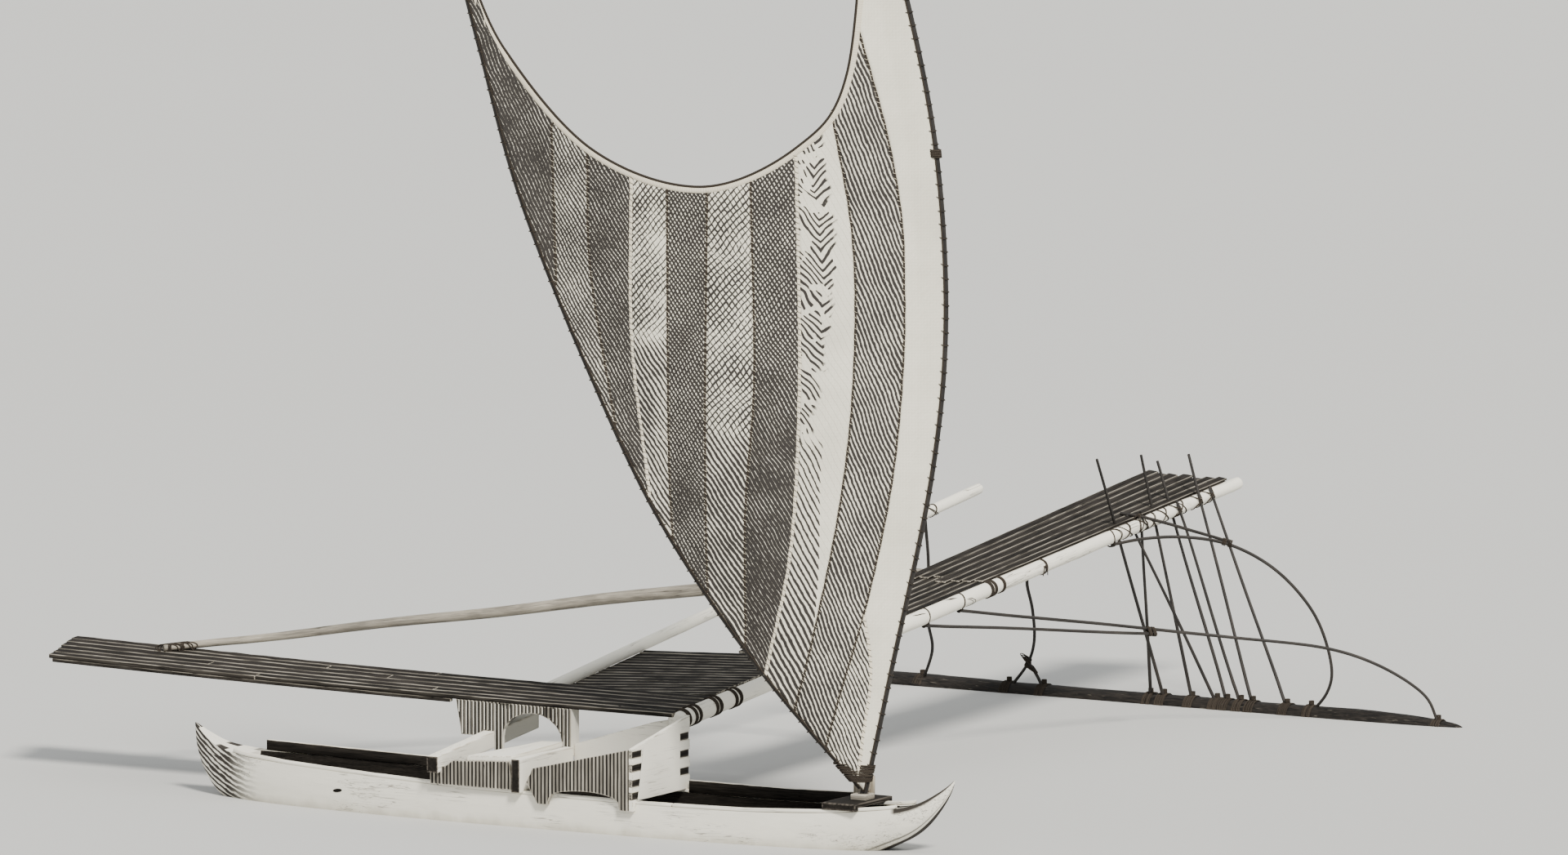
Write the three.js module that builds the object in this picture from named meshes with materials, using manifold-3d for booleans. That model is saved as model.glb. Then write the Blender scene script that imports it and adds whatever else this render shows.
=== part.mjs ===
// Sailing canoe with one float: a hollow hull, two booms, plank platforms and a claw-shaped mat sail.
// Millimetres. +X to the bow, +Y across to the float, +Z up. The origin is amidships on the waterline.
import * as THREE from "three";
import { mergeVertices } from "three/addons/utils/BufferGeometryUtils.js";
import Module from "manifold-3d";

const wasm = await Module();
wasm.setup();

// Driving dimensions
const GAP = 0.35; // between pieces that touch
const DEG = Math.PI / 180;

const HULL_HALF_BEAM = 525;
const HULL_WALL = 45;
const HOLLOW = { aft: -3640, fore: 3760 };
const SHEER_MIDSHIPS = 335;

const RIM = { width: 62, height: 34 };
const AFT_STRAKE = { from: -3620, to: -1250, height: 105 };
const FORE_STRAKE = { from: 1130, to: 3130, height: 125 };

const BOARD = 45; // thickness of the crib boards
const CRIB = { aft: -1240, fore: 1100, nearY: -(HULL_HALF_BEAM + 6 + GAP + BOARD), farY: 498 };
const CRIB_SLOT = { length: 190, height: 76 };

const FORE_BOOM = { x: 980, fromY: 460, toY: 11800, z0: 985, rise: 0.0972, r0: 94, r1: 62 };
const AFT_BOOM = { x: -980, fromY: 460, toY: 9900, z0: 975, rise: 0.1198, r0: 62, r1: 55 };
const AFT_BOOM_TONGUE = { toY: 620, bottom: 1028 }; // its inner end is cut away below

const PLANK = 42; // thickness of the platform planks
const AFT_PLATFORM = { fromX: -6500, toX: 960, fromY: 450, toY: 1250 };
const AFT_PLATFORM_NEAR_END = -6310; // its aft end is cut askew
const AFT_PLATFORM_SHAPE = { bottom: 1072, bend: 1.8e-6, rise: 0.098 };
const CENTRE_DECK = { fromX: -935, toX: 960, fromY: 1285, toY: 3100 };
const OUTER_PLATFORM = { fromX: 95, toX: 960, fromY: 3125, toY: 11650 };
const BOOM_FLAT = 30; // how deep the fore boom's top is hewn flat under the planks
const BATTEN = { width: 70, height: 46 };
const BRACE = { aft: [-5300, 1000], fore: [-850, 5390], r0: 36, r1: 70 };

const FLOAT = { y: 10500, z: -30, r: 130, aft: -3350, fore: 4360 };
const STICK_R = 18;
const STICK_BITE = 4; // the flat that a stick has where it is lashed against a boom
const ROD_R = 17;

const TACK = new THREE.Vector3(3420, 0, 560);
const SAIL_SWING = 25 * DEG; // to lee of the centreline
const SAIL_THICK = 16;
const SPAR_R = 38;
const SPAR_FOOT_Z = 522;

const BOW_THWART = { fromX: 3150, toX: 3530, halfWidth: 372, thick: 42 };
const MAST = { foot: [3270, 262, 530], head: [3790, 450, 7000], r0: 60, r1: 44 };
const MAST_PIN = { z: 610, r: 14 };
const CHEEK = { thick: 30, clear: 6, halfLength: 70 };

const COLOURS = {
  limed: 0xe9e6d6,
  weathered: 0x37312b,
  dark: 0x2a2724,
  pole: 0xd8cfb8,
  mat: 0xc9bd9f,
};

// Solids
function solid(geometry) {
  const bare = geometry.index ? geometry.toNonIndexed() : geometry.clone();
  bare.deleteAttribute("normal");
  bare.deleteAttribute("uv");
  const merged = mergeVertices(bare, 1e-3);
  return new wasm.Manifold(
    new wasm.Mesh({
      numProp: 3,
      vertProperties: merged.attributes.position.array,
      triVerts: new Uint32Array(merged.index.array),
    }),
  );
}

function geometryOf(made) {
  const mesh = made.getMesh();
  const geometry = new THREE.BufferGeometry();
  const places = new Float32Array(mesh.numVert * 3);
  for (let i = 0; i < mesh.numVert; i += 1)
    for (let k = 0; k < 3; k += 1) places[3 * i + k] = mesh.vertProperties[i * mesh.numProp + k];
  geometry.setAttribute("position", new THREE.BufferAttribute(places, 3));
  geometry.setIndex(new THREE.BufferAttribute(new Uint32Array(mesh.triVerts), 1));
  geometry.computeVertexNormals();
  return geometry;
}

const joined = (solids) => solids.reduce((all, one) => all.add(one));

// The largest piece that is left after a cut.
function largest(made) {
  return made.decompose().reduce((best, one) => (one.volume() > best.volume() ? one : best));
}

function block(x0, x1, y0, y1, z0, z1) {
  const box = new THREE.BoxGeometry(x1 - x0, y1 - y0, z1 - z0);
  box.translate((x0 + x1) / 2, (y0 + y1) / 2, (z0 + z1) / 2);
  return solid(box);
}

// A round pole between two points, with a radius at each end.
function pole(from, to, r0, r1, sides = 12) {
  const a = new THREE.Vector3(...from);
  const b = new THREE.Vector3(...to);
  const cylinder = new THREE.CylinderGeometry(r1, r0, a.distanceTo(b), sides);
  const turn = new THREE.Quaternion().setFromUnitVectors(
    new THREE.Vector3(0, 1, 0),
    b.clone().sub(a).normalize(),
  );
  cylinder.applyQuaternion(turn);
  cylinder.translate(...a.add(b).multiplyScalar(0.5).toArray());
  return solid(cylinder);
}

// A bent round rod through points [x, y, z].
function rod(points, radius = ROD_R, steps = 20, sides = 8) {
  const curve = new THREE.CatmullRomCurve3(points.map((p) => new THREE.Vector3(...p)));
  const section = new THREE.Shape();
  for (let i = 0; i < sides; i += 1) {
    const a = (2 * Math.PI * i) / sides;
    const at = [radius * Math.cos(a), radius * Math.sin(a)];
    if (i === 0) section.moveTo(...at);
    else section.lineTo(...at);
  }
  return solid(new THREE.ExtrudeGeometry(section, { steps, extrudePath: curve, bevelEnabled: false }));
}

// An upright prism over a plan whose corners are [x, y], higher than anything that it is used to cut.
function uprightPrism(corners) {
  const shape = new THREE.Shape(corners.map(([x, y]) => new THREE.Vector2(x, y)));
  return solid(new THREE.ExtrudeGeometry(shape, { depth: 3000, bevelEnabled: false }));
}

// A board that stands along the hull: its outline is given as [x, z] and it is thick along +Y.
function boardAlong(outline, y, thickness = BOARD) {
  const shape = new THREE.Shape(outline.map(([x, z]) => new THREE.Vector2(x, z)));
  const geometry = new THREE.ExtrudeGeometry(shape, { depth: thickness, bevelEnabled: false });
  geometry.rotateX(Math.PI / 2);
  geometry.translate(0, y + thickness, 0);
  return solid(geometry);
}

// A board that stands across the hull: its outline is given as [y, z] and it is thick along +X.
function boardAcross(outline, x, thickness = BOARD) {
  const shape = new THREE.Shape(outline.map(([y, z]) => new THREE.Vector2(y, z)));
  const geometry = new THREE.ExtrudeGeometry(shape, { depth: thickness, bevelEnabled: false });
  geometry.rotateX(Math.PI / 2);
  geometry.rotateZ(Math.PI / 2);
  geometry.translate(x, 0, 0);
  return solid(geometry);
}

// An arch's curved upper edge as points, from its left foot to its right one.
function archPoints(x0, x1, zFoot, zCrown, count = 10) {
  const points = [];
  for (let i = 0; i <= count; i += 1) {
    const a = Math.PI * (1 - i / count);
    points.push([
      (x0 + x1) / 2 + ((x1 - x0) / 2) * Math.cos(a),
      zFoot + (zCrown - zFoot) * Math.sin(a),
    ]);
  }
  return points;
}

// A slab over a rectangle in plan, whose underside follows a height given at each [x, y].
const ruledSlab = (...facts) => solid(slabGeometry(...facts));
function slabGeometry({ fromX, toX, fromY, toY }, thickness, heightAt, across = 1, along = 1) {
  const places = [];
  for (const lift of [thickness, 0])
    for (let j = 0; j <= along; j += 1)
      for (let i = 0; i <= across; i += 1) {
        const x = fromX + ((toX - fromX) * i) / across;
        const y = fromY + ((toY - fromY) * j) / along;
        places.push([x, y, heightAt(x, y) + lift]);
      }
  const layer = (across + 1) * (along + 1);
  const at = (i, j, below = 0) => below * layer + j * (across + 1) + i;
  const faces = [];
  const wall = (a, b) => faces.push([a, a + layer, b], [b, a + layer, b + layer]);
  for (let j = 0; j < along; j += 1)
    for (let i = 0; i < across; i += 1) {
      faces.push([at(i, j), at(i + 1, j), at(i + 1, j + 1)], [at(i, j), at(i + 1, j + 1), at(i, j + 1)]);
      faces.push([at(i, j, 1), at(i + 1, j + 1, 1), at(i + 1, j, 1)]);
      faces.push([at(i, j, 1), at(i, j + 1, 1), at(i + 1, j + 1, 1)]);
    }
  for (let i = 0; i < across; i += 1) {
    wall(at(i, 0), at(i + 1, 0));
    wall(at(i + 1, along), at(i, along));
  }
  for (let j = 0; j < along; j += 1) {
    wall(at(across, j), at(across, j + 1));
    wall(at(0, j + 1), at(0, j));
  }
  const geometry = new THREE.BufferGeometry();
  geometry.setAttribute("position", new THREE.Float32BufferAttribute(places.flat(), 3));
  geometry.setIndex(faces.flat());
  return geometry;
}

// Hull: a loft of rounded sections between two crescent ends
// Columns: x, half beam, height of the sheer, height of the keel.
const HULL_STATIONS = [
  [-4320, 8, 711, 655],
  [-4292, 26, 690, 455],
  [-4190, 70, 618, 217],
  [-4000, 142, 520, 10],
  [-3610, 262, 452, -135],
  [-3000, 382, 420, -262],
  [-2000, 478, 385, -372],
  [-900, 518, 350, -425],
  [0, HULL_HALF_BEAM, SHEER_MIDSHIPS, -440],
  [1200, 518, 328, -425],
  [2300, 462, 335, -368],
  [3200, 356, 372, -200],
  [3800, 240, 430, 50],
  [4000, 190, 466, 150],
  [4150, 138, 520, 265],
  [4330, 66, 632, 475],
  [4420, 26, 706, 620],
  [4453, 8, 742, 700],
];
const SECTION_STEPS = 14;

function hullLoft(stations, inset, lift) {
  const places = [];
  const ring = SECTION_STEPS + 1;
  for (const [x, halfBeam, sheer, keel] of stations) {
    for (let j = 0; j < ring; j += 1) {
      const a = (Math.PI * j) / SECTION_STEPS;
      const across = -Math.sign(Math.cos(a)) * Math.abs(Math.cos(a)) ** 0.75;
      const down = Math.sin(a) ** 0.85;
      const depth = sheer - keel - inset;
      const raised = j === 0 || j === ring - 1 ? lift : 0;
      places.push([x, across * (halfBeam - inset), sheer - depth * down + raised]);
    }
  }
  const faces = [];
  for (let i = 0; i + 1 < stations.length; i += 1) {
    for (let j = 0; j < ring; j += 1) {
      const k = (j + 1) % ring;
      const a = i * ring + j;
      const b = i * ring + k;
      const c = (i + 1) * ring + k;
      const d = (i + 1) * ring + j;
      faces.push([a, b, c], [a, c, d]);
    }
  }
  const last = (stations.length - 1) * ring;
  for (let j = 1; j + 1 < ring; j += 1) {
    faces.push([0, j + 1, j]);
    faces.push([last, last + j, last + j + 1]);
  }
  const geometry = new THREE.BufferGeometry();
  geometry.setAttribute("position", new THREE.Float32BufferAttribute(places.flat(), 3));
  geometry.setIndex(faces.flat());
  return solid(geometry);
}

// A column of the station table at any x, by straight lines between stations.
function atStation(x, column) {
  const i = Math.max(1, HULL_STATIONS.findIndex((row) => row[0] >= x));
  const [a, b] = [HULL_STATIONS[i - 1], HULL_STATIONS[i]];
  const t = (x - a[0]) / (b[0] - a[0]);
  return a[column] + t * (b[column] - a[column]);
}
const halfBeamAt = (x) => atStation(x, 1);
const sheerAt = (x) => atStation(x, 2);

const hullOuter = hullLoft(HULL_STATIONS, 0, 0);
// Everything below the top of the gunwale strips, and a little to each side of them.
const belowRim = hullLoft(HULL_STATIONS, -8, 0).translate([0, 0, RIM.height + 2 * GAP]);

function hull() {
  const inner = [HOLLOW.aft, ...HULL_STATIONS.map((row) => row[0]), HOLLOW.fore]
    .filter((x) => x >= HOLLOW.aft && x <= HOLLOW.fore)
    .sort((a, b) => a - b)
    .filter((x, i, all) => i === 0 || x - all[i - 1] > 1)
    .map((x) => [x, halfBeamAt(x), sheerAt(x), atStation(x, 3)]);
  return hullOuter.subtract(hullLoft(inner, HULL_WALL, 60));
}

// A strip that lies on the gunwale, on one side, between two stations.
function gunwaleStrip(side, from, to, heightAt) {
  const xs = HULL_STATIONS.map((row) => row[0]).filter((x) => x > from && x < to);
  const stations = [from, ...xs, to];
  const places = [];
  for (const x of stations) {
    const outer = side * (halfBeamAt(x) + 6);
    const inner = side * Math.max(4, halfBeamAt(x) - RIM.width + 12);
    const bottom = sheerAt(x) + GAP;
    const top = bottom + heightAt(x);
    places.push([x, outer, bottom], [x, inner, bottom], [x, inner, top], [x, outer, top]);
  }
  const faces = [];
  for (let i = 0; i + 1 < stations.length; i += 1) {
    for (let j = 0; j < 4; j += 1) {
      const [a, b] = [i * 4 + j, i * 4 + ((j + 1) % 4)];
      faces.push([a, b + 4, b], [a, a + 4, b + 4]);
    }
  }
  const last = (stations.length - 1) * 4;
  faces.push([0, 1, 2], [0, 2, 3], [last, last + 2, last + 1], [last, last + 3, last + 2]);
  const wound = side < 0 ? faces.map(([a, b, c]) => [a, c, b]) : faces;
  const geometry = new THREE.BufferGeometry();
  geometry.setAttribute("position", new THREE.Float32BufferAttribute(places.flat(), 3));
  geometry.setIndex(wound.flat());
  return solid(geometry);
}

const rimHeight = () => RIM.height;
const strakeHeight = () => AFT_STRAKE.height;
const foreStrakeHeight = () => FORE_STRAKE.height;

// Booms
const boomZ = (boom, y) => boom.z0 + boom.rise * y;
const boomR = (boom, y) => boom.r0 + ((boom.r1 - boom.r0) * (y - boom.fromY)) / (boom.toY - boom.fromY);
function boomPole(boom, extra = 0, sides = 14) {
  return pole(
    [boom.x, boom.fromY - extra, boomZ(boom, boom.fromY - extra)],
    [boom.x, boom.toY + extra, boomZ(boom, boom.toY + extra)],
    boom.r0 + extra,
    boom.r1 + extra,
    sides,
  );
}
// The aft boom's inner end is a tongue that lies in a notch in the arch board.
function aftBoomPole(extra = 0) {
  const below = AFT_BOOM_TONGUE.bottom - extra;
  return boomPole(AFT_BOOM, extra).subtract(block(-1200, -800, 0, AFT_BOOM_TONGUE.toY - extra, 800, below));
}
const foreBoomRoom = boomPole(FORE_BOOM, GAP);
const aftBoomRoom = aftBoomPole(GAP);
const floatRoom = floatLog(GAP);
const seat = (made) => made.subtract(foreBoomRoom).subtract(aftBoomRoom);

// Crib: boards that stand on the gunwales and carry the booms
const nearBoardBottom = 262;
const endBoardX = CRIB.fore - BOARD;

function nearForeBoard() {
  const outline = [
    [-130, 470], [-55, 614], [endBoardX - GAP, 877], [endBoardX - GAP, nearBoardBottom],
    [950, nearBoardBottom],
    ...archPoints(130, 930, 330, 425).reverse(),
    [110, nearBoardBottom], [0, nearBoardBottom],
  ];
  return boardAlong(outline, CRIB.nearY).subtract(belowRim);
}

// The near board further aft stays low, and its aft end carries the aft cross beam.
function nearAftBoard() {
  const outline = [[CRIB.aft, 380], [CRIB.aft, 560], [-1075, 560], [-985, 625], [-335, 662], [-287, 380]];
  return boardAlong(outline, CRIB.nearY).subtract(belowRim).subtract(aftBeam(GAP)).subtract(cribLid(GAP));
}

// A tapered lid lies across the hull, from the near aft board to the arch board.
// Columns of near and far: its two corners along the hull.
const CRIB_LID = { near: [-840, -310], far: [-560, -310], fromY: -545, toY: 451.6, thick: 55 };
const CRIB_LID_SHAPE = { bottom: 658, alongRise: 0.056, outRise: 0.03 };
function cribLid(extra = 0) {
  const { near, far, fromY, toY, thick } = CRIB_LID;
  const { bottom, alongRise, outRise } = CRIB_LID_SHAPE;
  const [y0, y1] = [fromY - extra, toY + extra];
  const corners = [[near[0] - extra, y0], [near[1] + extra, y0], [far[1] + extra, y1], [far[0] - extra, y1]];
  const plan = { fromX: near[0] - 20, toX: near[1] + 20, fromY: fromY - 20, toY: toY + 20 };
  const under = (x, y) => bottom + alongRise * (x - near[1]) + outRise * (y - fromY) - extra;
  return ruledSlab(plan, thick + 2 * extra, under).intersect(uprightPrism(corners));
}

function farBoard() {
  const outline = [
    [-208, 330], [-208, 720], [-55, 770], [690, 1000], [endBoardX - GAP, 1075], [endBoardX - GAP, 330],
  ];
  return seat(boardAlong(outline, CRIB.farY).subtract(belowRim));
}

// The end board that faces the bow. Slots are cut in from its two upright edges.
const NEAR_SLOTS = [412, 538, 690, 825];
const FAR_SLOTS = [545, 720, 895];
function endBoard() {
  const [near, far] = [CRIB.nearY, CRIB.farY + BOARD];
  const outline = [[near, nearBoardBottom], [far, 330], [far, 1095], [near, 885]];
  const slot = (y0, y1, z) => {
    const half = CRIB_SLOT.height / 2;
    return block(endBoardX - 10, CRIB.fore + 10, y0, y1, z - half, z + half);
  };
  const slots = [
    ...NEAR_SLOTS.map((z) => slot(near - 10, near + CRIB_SLOT.length, z)),
    ...FAR_SLOTS.map((z) => slot(far - CRIB_SLOT.length, far + 10, z)),
  ];
  return seat(boardAcross(outline, endBoardX).subtract(joined(slots)).subtract(belowRim));
}

// The aft cross beam lies across both gunwale boards and rises outwards as the booms do.
const AFT_BEAM = { fromX: CRIB.aft, toX: -1110, fromY: -650, toY: 1330, z: 500, rise: 0.11, height: 165 };
function aftBeam(extra = 0) {
  const b = AFT_BEAM;
  const plan = { fromX: b.fromX - extra, toX: b.toX + extra, fromY: b.fromY - extra, toY: b.toY + extra };
  return ruledSlab(plan, b.height + 2 * extra, (x, y) => b.z + b.rise * (y - b.fromY) - extra);
}

// The middle bar stands between the two near boards, on the gunwale, and meets the arch board.
const MIDDLE_BAR = { fromX: -286, toX: -190, fromY: CRIB.nearY - 30, toY: 451.6, bottom: 360, top: 695 };
function middleBar() {
  const b = MIDDLE_BAR;
  return block(b.fromX, b.toX, b.fromY, b.toY, b.bottom, b.top).subtract(belowRim);
}

// The arch board stands along the far gunwale, carries the aft boom and bears on the aft cross beam.
// One leg of it stands against the beam's fore side, and its fore end is thickened to a post.
const ARCH = { x0: -1560, x1: -215, top: 1110, crown: 1000, y: 452, foot: 600, spring: 735 };
const ARCH_LEGS = { aft: [-1108, -1018], fore: [-330, -215] };
const ARCH_POST = { length: 45, toY: 600 };
function archBoard() {
  const a = ARCH;
  const [aft, fore] = [ARCH_LEGS.aft, ARCH_LEGS.fore];
  const outline = [
    [a.x0, a.top], [a.x1, a.top], [a.x1, a.foot], [fore[0], a.foot],
    ...archPoints(aft[1], fore[0], a.spring, a.crown).reverse(),
    [aft[1], a.foot], [aft[0], a.foot], [aft[0], a.spring], [a.x0 + 70, a.spring],
  ];
  const post = block(a.x1 - ARCH_POST.length, a.x1, a.y + BOARD - 1, ARCH_POST.toY, a.foot, a.top);
  return seat(boardAlong(outline, a.y).add(post).subtract(aftBeam(GAP)).subtract(aftPlatform(GAP)));
}

// Float: a log with tapered ends
function floatLog(extra = 0) {
  const { aft, fore, r } = FLOAT;
  const profile = [
    [0, aft - extra], [38 + extra, aft - extra], [80 + extra, aft + 160], [r + extra, aft + 620],
    [r + extra, fore - 960], [100 + extra, fore - 420], [52 + extra, fore - 60], [0, fore + extra],
  ].map(([radius, x]) => new THREE.Vector2(radius, x));
  const geometry = new THREE.LatheGeometry(profile, 16);
  geometry.rotateZ(-Math.PI / 2);
  geometry.translate(0, FLOAT.y, FLOAT.z);
  return solid(geometry);
}

// Sticks that stand on the float and pass beside a boom, on its aft (-1) or fore (1) side.
// Columns: name, boom, side, y where it crosses the boom, x of its foot, length above the boom.
const STICKS = [
  ["float_stick_1", FORE_BOOM, -1, 9450, 860, 900],
  ["float_stick_2", FORE_BOOM, -1, 9950, 700, 110],
  ["float_stick_3", FORE_BOOM, -1, 10200, 1190, 640],
  ["float_stick_4", FORE_BOOM, -1, 9750, 1480, 110],
  ["float_stick_5", FORE_BOOM, -1, 10560, 1600, 500],
  ["float_stick_6", FORE_BOOM, 1, 10450, 1760, 120],
  ["float_stick_7", FORE_BOOM, 1, 10880, 1900, 520],
  ["float_stick_8", FORE_BOOM, 1, 11120, 2300, 130],
];
function floatStick([, boom, side, crossY, footX, above], extra = 0) {
  const foot = new THREE.Vector3(footX, FLOAT.y, FLOAT.z + 60);
  const along = new THREE.Vector3(0, 1, boom.rise).normalize();
  let offset = boomR(boom, crossY) + STICK_R + 1;
  let cross;
  for (let i = 0; i < 4; i += 1) {
    cross = new THREE.Vector3(boom.x + side * offset, crossY, boomZ(boom, crossY));
    const stand = cross.clone().sub(foot).normalize();
    const apart = Math.abs(new THREE.Vector3().crossVectors(along, stand).normalize().x);
    offset = (boomR(boom, crossY) + STICK_R - STICK_BITE) / apart;
  }
  const head = cross.clone().add(cross.clone().sub(foot).normalize().multiplyScalar(above));
  if (extra) return pole(foot.toArray(), head.toArray(), STICK_R + extra, STICK_R + extra, 8);
  return largest(seat(pole(foot.toArray(), head.toArray(), STICK_R, STICK_R - 4, 8).subtract(floatRoom)));
}

// Bent rods between the booms and the float. Columns: name, points, the rod that it is lashed to.
const floatTop = FLOAT.z + 60;
const BENT_RODS = [
  ["float_hoop", [
    [980, 9180, 1795], [1300, 9300, 1868], [1676, 9500, 1883], [2060, 9700, 1811], [2416, 9900, 1606],
    [2669, 10100, 1303], [2818, 10250, 975], [2872, 10400, 483], [2780, 10460, 250], [2580, 10500, floatTop],
  ]],
  ["float_long_rod", [
    [980, 6098, 1487], [1450, 7600, 1230], [1890, 8800, 1022], [2357, 9300, 929], [3153, 9800, 810],
    [3546, 10050, 659], [3864, 10250, 451], [3996, 10400, 272], [4060, 10500, 10],
  ]],
  ["aft_stanchion_inner", [
    [-1049, 8900, 2100], [-1230, 9300, 1500], [-1560, 9850, 800], [-1700, 10200, 420],
    [-1990, 10500, floatTop],
  ]],
  ["aft_stanchion_outer", [
    [500, 8925, 1852], [200, 9300, 1700], [-150, 9650, 1480], [-470, 10000, 1228],
    [-490, 10150, 918], [-559, 10300, 570], [-690, 10400, 328], [-966, 10500, floatTop],
  ]],
  ["float_long_rod_2", [
    [980, 5390, 1416], [1250, 6700, 1250], [1540, 7800, 1110], [1820, 8560, 1015],
  ], "float_long_rod"],
  ["hoop_brace", [
    [770, 9745, 2040], [980, 9740, 2030], [1300, 9725, 1985], [1700, 9715, 1910], [2050, 9700, 1846],
  ], "float_hoop"],
  ["stanchion_fork", [
    [-680, 10395, 330], [-610, 10450, 190], [-555, 10500, floatTop],
  ], "aft_stanchion_outer"],
];

function bentRod([, points, lashedTo]) {
  const made = seat(rod(points, ROD_R, 28).subtract(floatRoom).subtract(outerPlatform(GAP)));
  if (!lashedTo) return largest(made);
  const other = BENT_RODS.find((row) => row[0] === lashedTo)[1];
  return largest(made.subtract(rod(other, ROD_R + GAP, 28)));
}

// Platforms: plank fields that lie on the fore boom's flat top and under or against the aft boom
const topOf = (boom, y) => boomZ(boom, y) + boomR(boom, y);
const SINK = 3; // how far a seat is hollowed to fit the round of a boom
const foreSeatZ = (y) => topOf(FORE_BOOM, y) - BOOM_FLAT;
function betweenBooms(x, aftZ, foreZ) {
  const t = (x - AFT_BOOM.x) / (FORE_BOOM.x - AFT_BOOM.x);
  return (1 - t) * aftZ + t * foreZ;
}

// The aft platform runs out past the hull and bends up a little towards its aft end.
function platformZ(x, y) {
  const { bottom, bend, rise } = AFT_PLATFORM_SHAPE;
  return bottom + bend * (x - AFT_PLATFORM.toX) ** 2 + rise * (y - AFT_PLATFORM.fromY);
}
function aftPlatform(extra = 0) {
  const { fromX, toX, fromY, toY } = AFT_PLATFORM;
  const plan = { fromX, toX: toX + extra, fromY: fromY - extra, toY: toY + extra };
  const slab = ruledSlab(plan, PLANK + 2 * extra, (x, y) => platformZ(x, y) - extra, 10, 1);
  const [near, far, out] = [AFT_PLATFORM_NEAR_END, fromX, fromX - 50];
  const [y0, y1] = [fromY - 5, toY + 5];
  return slab.subtract(uprightPrism([[out, y0], [near, y0], [far, y1], [out, y1]]));
}

// The deck's planks lie on the fore boom and end against the aft boom's side.
const DECK_BELOW_AXIS = 85;
const deckZ = (x, y) => betweenBooms(x, boomZ(AFT_BOOM, y) - DECK_BELOW_AXIS, foreSeatZ(y));
function centreDeck(extra = 0) {
  const { fromX, toX, fromY, toY } = CENTRE_DECK;
  const plan = { fromX, toX: toX + extra, fromY: fromY - extra, toY: toY + extra };
  const slab = ruledSlab(plan, PLANK + 2 * extra, (x, y) => deckZ(x, y) - extra, 4, 4);
  return extra ? slab : slab.subtract(aftBoomRoom);
}

// Outside the deck the planks lie along the booms, on battens that pass under the aft boom.
function outerZ(x, y) {
  const aftBottom = boomZ(AFT_BOOM, y) - boomR(AFT_BOOM, y) + SINK;
  return betweenBooms(x, aftBottom, foreSeatZ(y));
}

// Columns: name, y, from x, to x.
const BATTENS = [
  ["batten_1", 5640, -1090, 960],
  ["batten_2", 7000, -1090, 960],
  ["batten_3", 8900, 40, 960],
  ["batten_4", 11250, 40, 960],
];
function batten([, y, fromX, toX]) {
  const half = BATTEN.width / 2;
  const plan = { fromX, toX, fromY: y - half, toY: y + half };
  const bar = ruledSlab(plan, BATTEN.height, (x, v) => outerZ(x, v) - BATTEN.height + 2);
  return largest(seat(bar.subtract(outerPlatform(GAP))));
}

function outerPlatform(extra = 0) {
  const { fromX, toX, fromY, toY } = OUTER_PLATFORM;
  const plan = { fromX, toX: toX + extra, fromY: fromY - extra, toY: toY + extra };
  const field = ruledSlab(plan, PLANK + 2 * extra, (x, y) => outerZ(x, y) - extra, 4, 12);
  return extra ? field : field.subtract(joined(STICKS.map((row) => floatStick(row, 7))));
}

function foreBoom() {
  const planks = [aftPlatform(GAP), centreDeck(GAP), outerPlatform(GAP)];
  return planks.reduce((made, field) => made.subtract(field), boomPole(FORE_BOOM));
}
const aftBoom = () => aftBoomPole().subtract(aftPlatform(GAP));

// A tapered pole runs from the aft platform's end to the aft boom, and its thick end lies on the boom.
function diagonalBrace() {
  const { aft, fore, r0, r1 } = BRACE;
  const aftZ = platformZ(aft[0], aft[1]) + PLANK + r0 - SINK;
  const foreZ = topOf(AFT_BOOM, fore[1] - 140) + r1 - SINK + 6;
  const made = pole([...aft, aftZ], [...fore, foreZ], r0, r1, 12);
  return seat(made.subtract(aftPlatform(GAP)));
}

// Sail rig: everything is drawn in the sail's own plane, [aft of the tack, above the waterline],
// then swung to lee.
const LUFF = [[0, 560], [-246, 1725], [-656, 3715], [-795, 5265], [-697, 6953], [-393, 8516], [-33, 9747]];
const LEECH = [[0, 560], [1000, 1735], [1959, 3141], [2656, 4567], [3385, 6387], [3800, 7900], [4025, 8794]];
const HEAD = [[3940, 8760], [3566, 7918], [2689, 6948], [1600, 6600], [648, 7004], [164, 7727], [0, 9600]];

const sailPoint = (u, z, n = 0) => [
  TACK.x - u * Math.cos(SAIL_SWING) - n * Math.sin(SAIL_SWING),
  TACK.y - u * Math.sin(SAIL_SWING) + n * Math.cos(SAIL_SWING),
  z,
];
const curveOf = (points) => new THREE.SplineCurve(points.map(([u, z]) => new THREE.Vector2(u, z)));

function inSailPlane(geometry, n0) {
  const place = geometry.attributes.position;
  for (let i = 0; i < place.count; i += 1) {
    place.setXYZ(i, ...sailPoint(place.getX(i), place.getY(i), n0 + place.getZ(i)));
  }
  return solid(geometry);
}

// The flat layer in which the mat lies, a little thicker than the mat.
const layerDepth = SAIL_THICK + 2 * GAP;
const layerBox = new THREE.BoxGeometry(8000, 12000, layerDepth).translate(1500, 5000, 0);
const sailLayer = inSailPlane(layerBox, 0);

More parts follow.
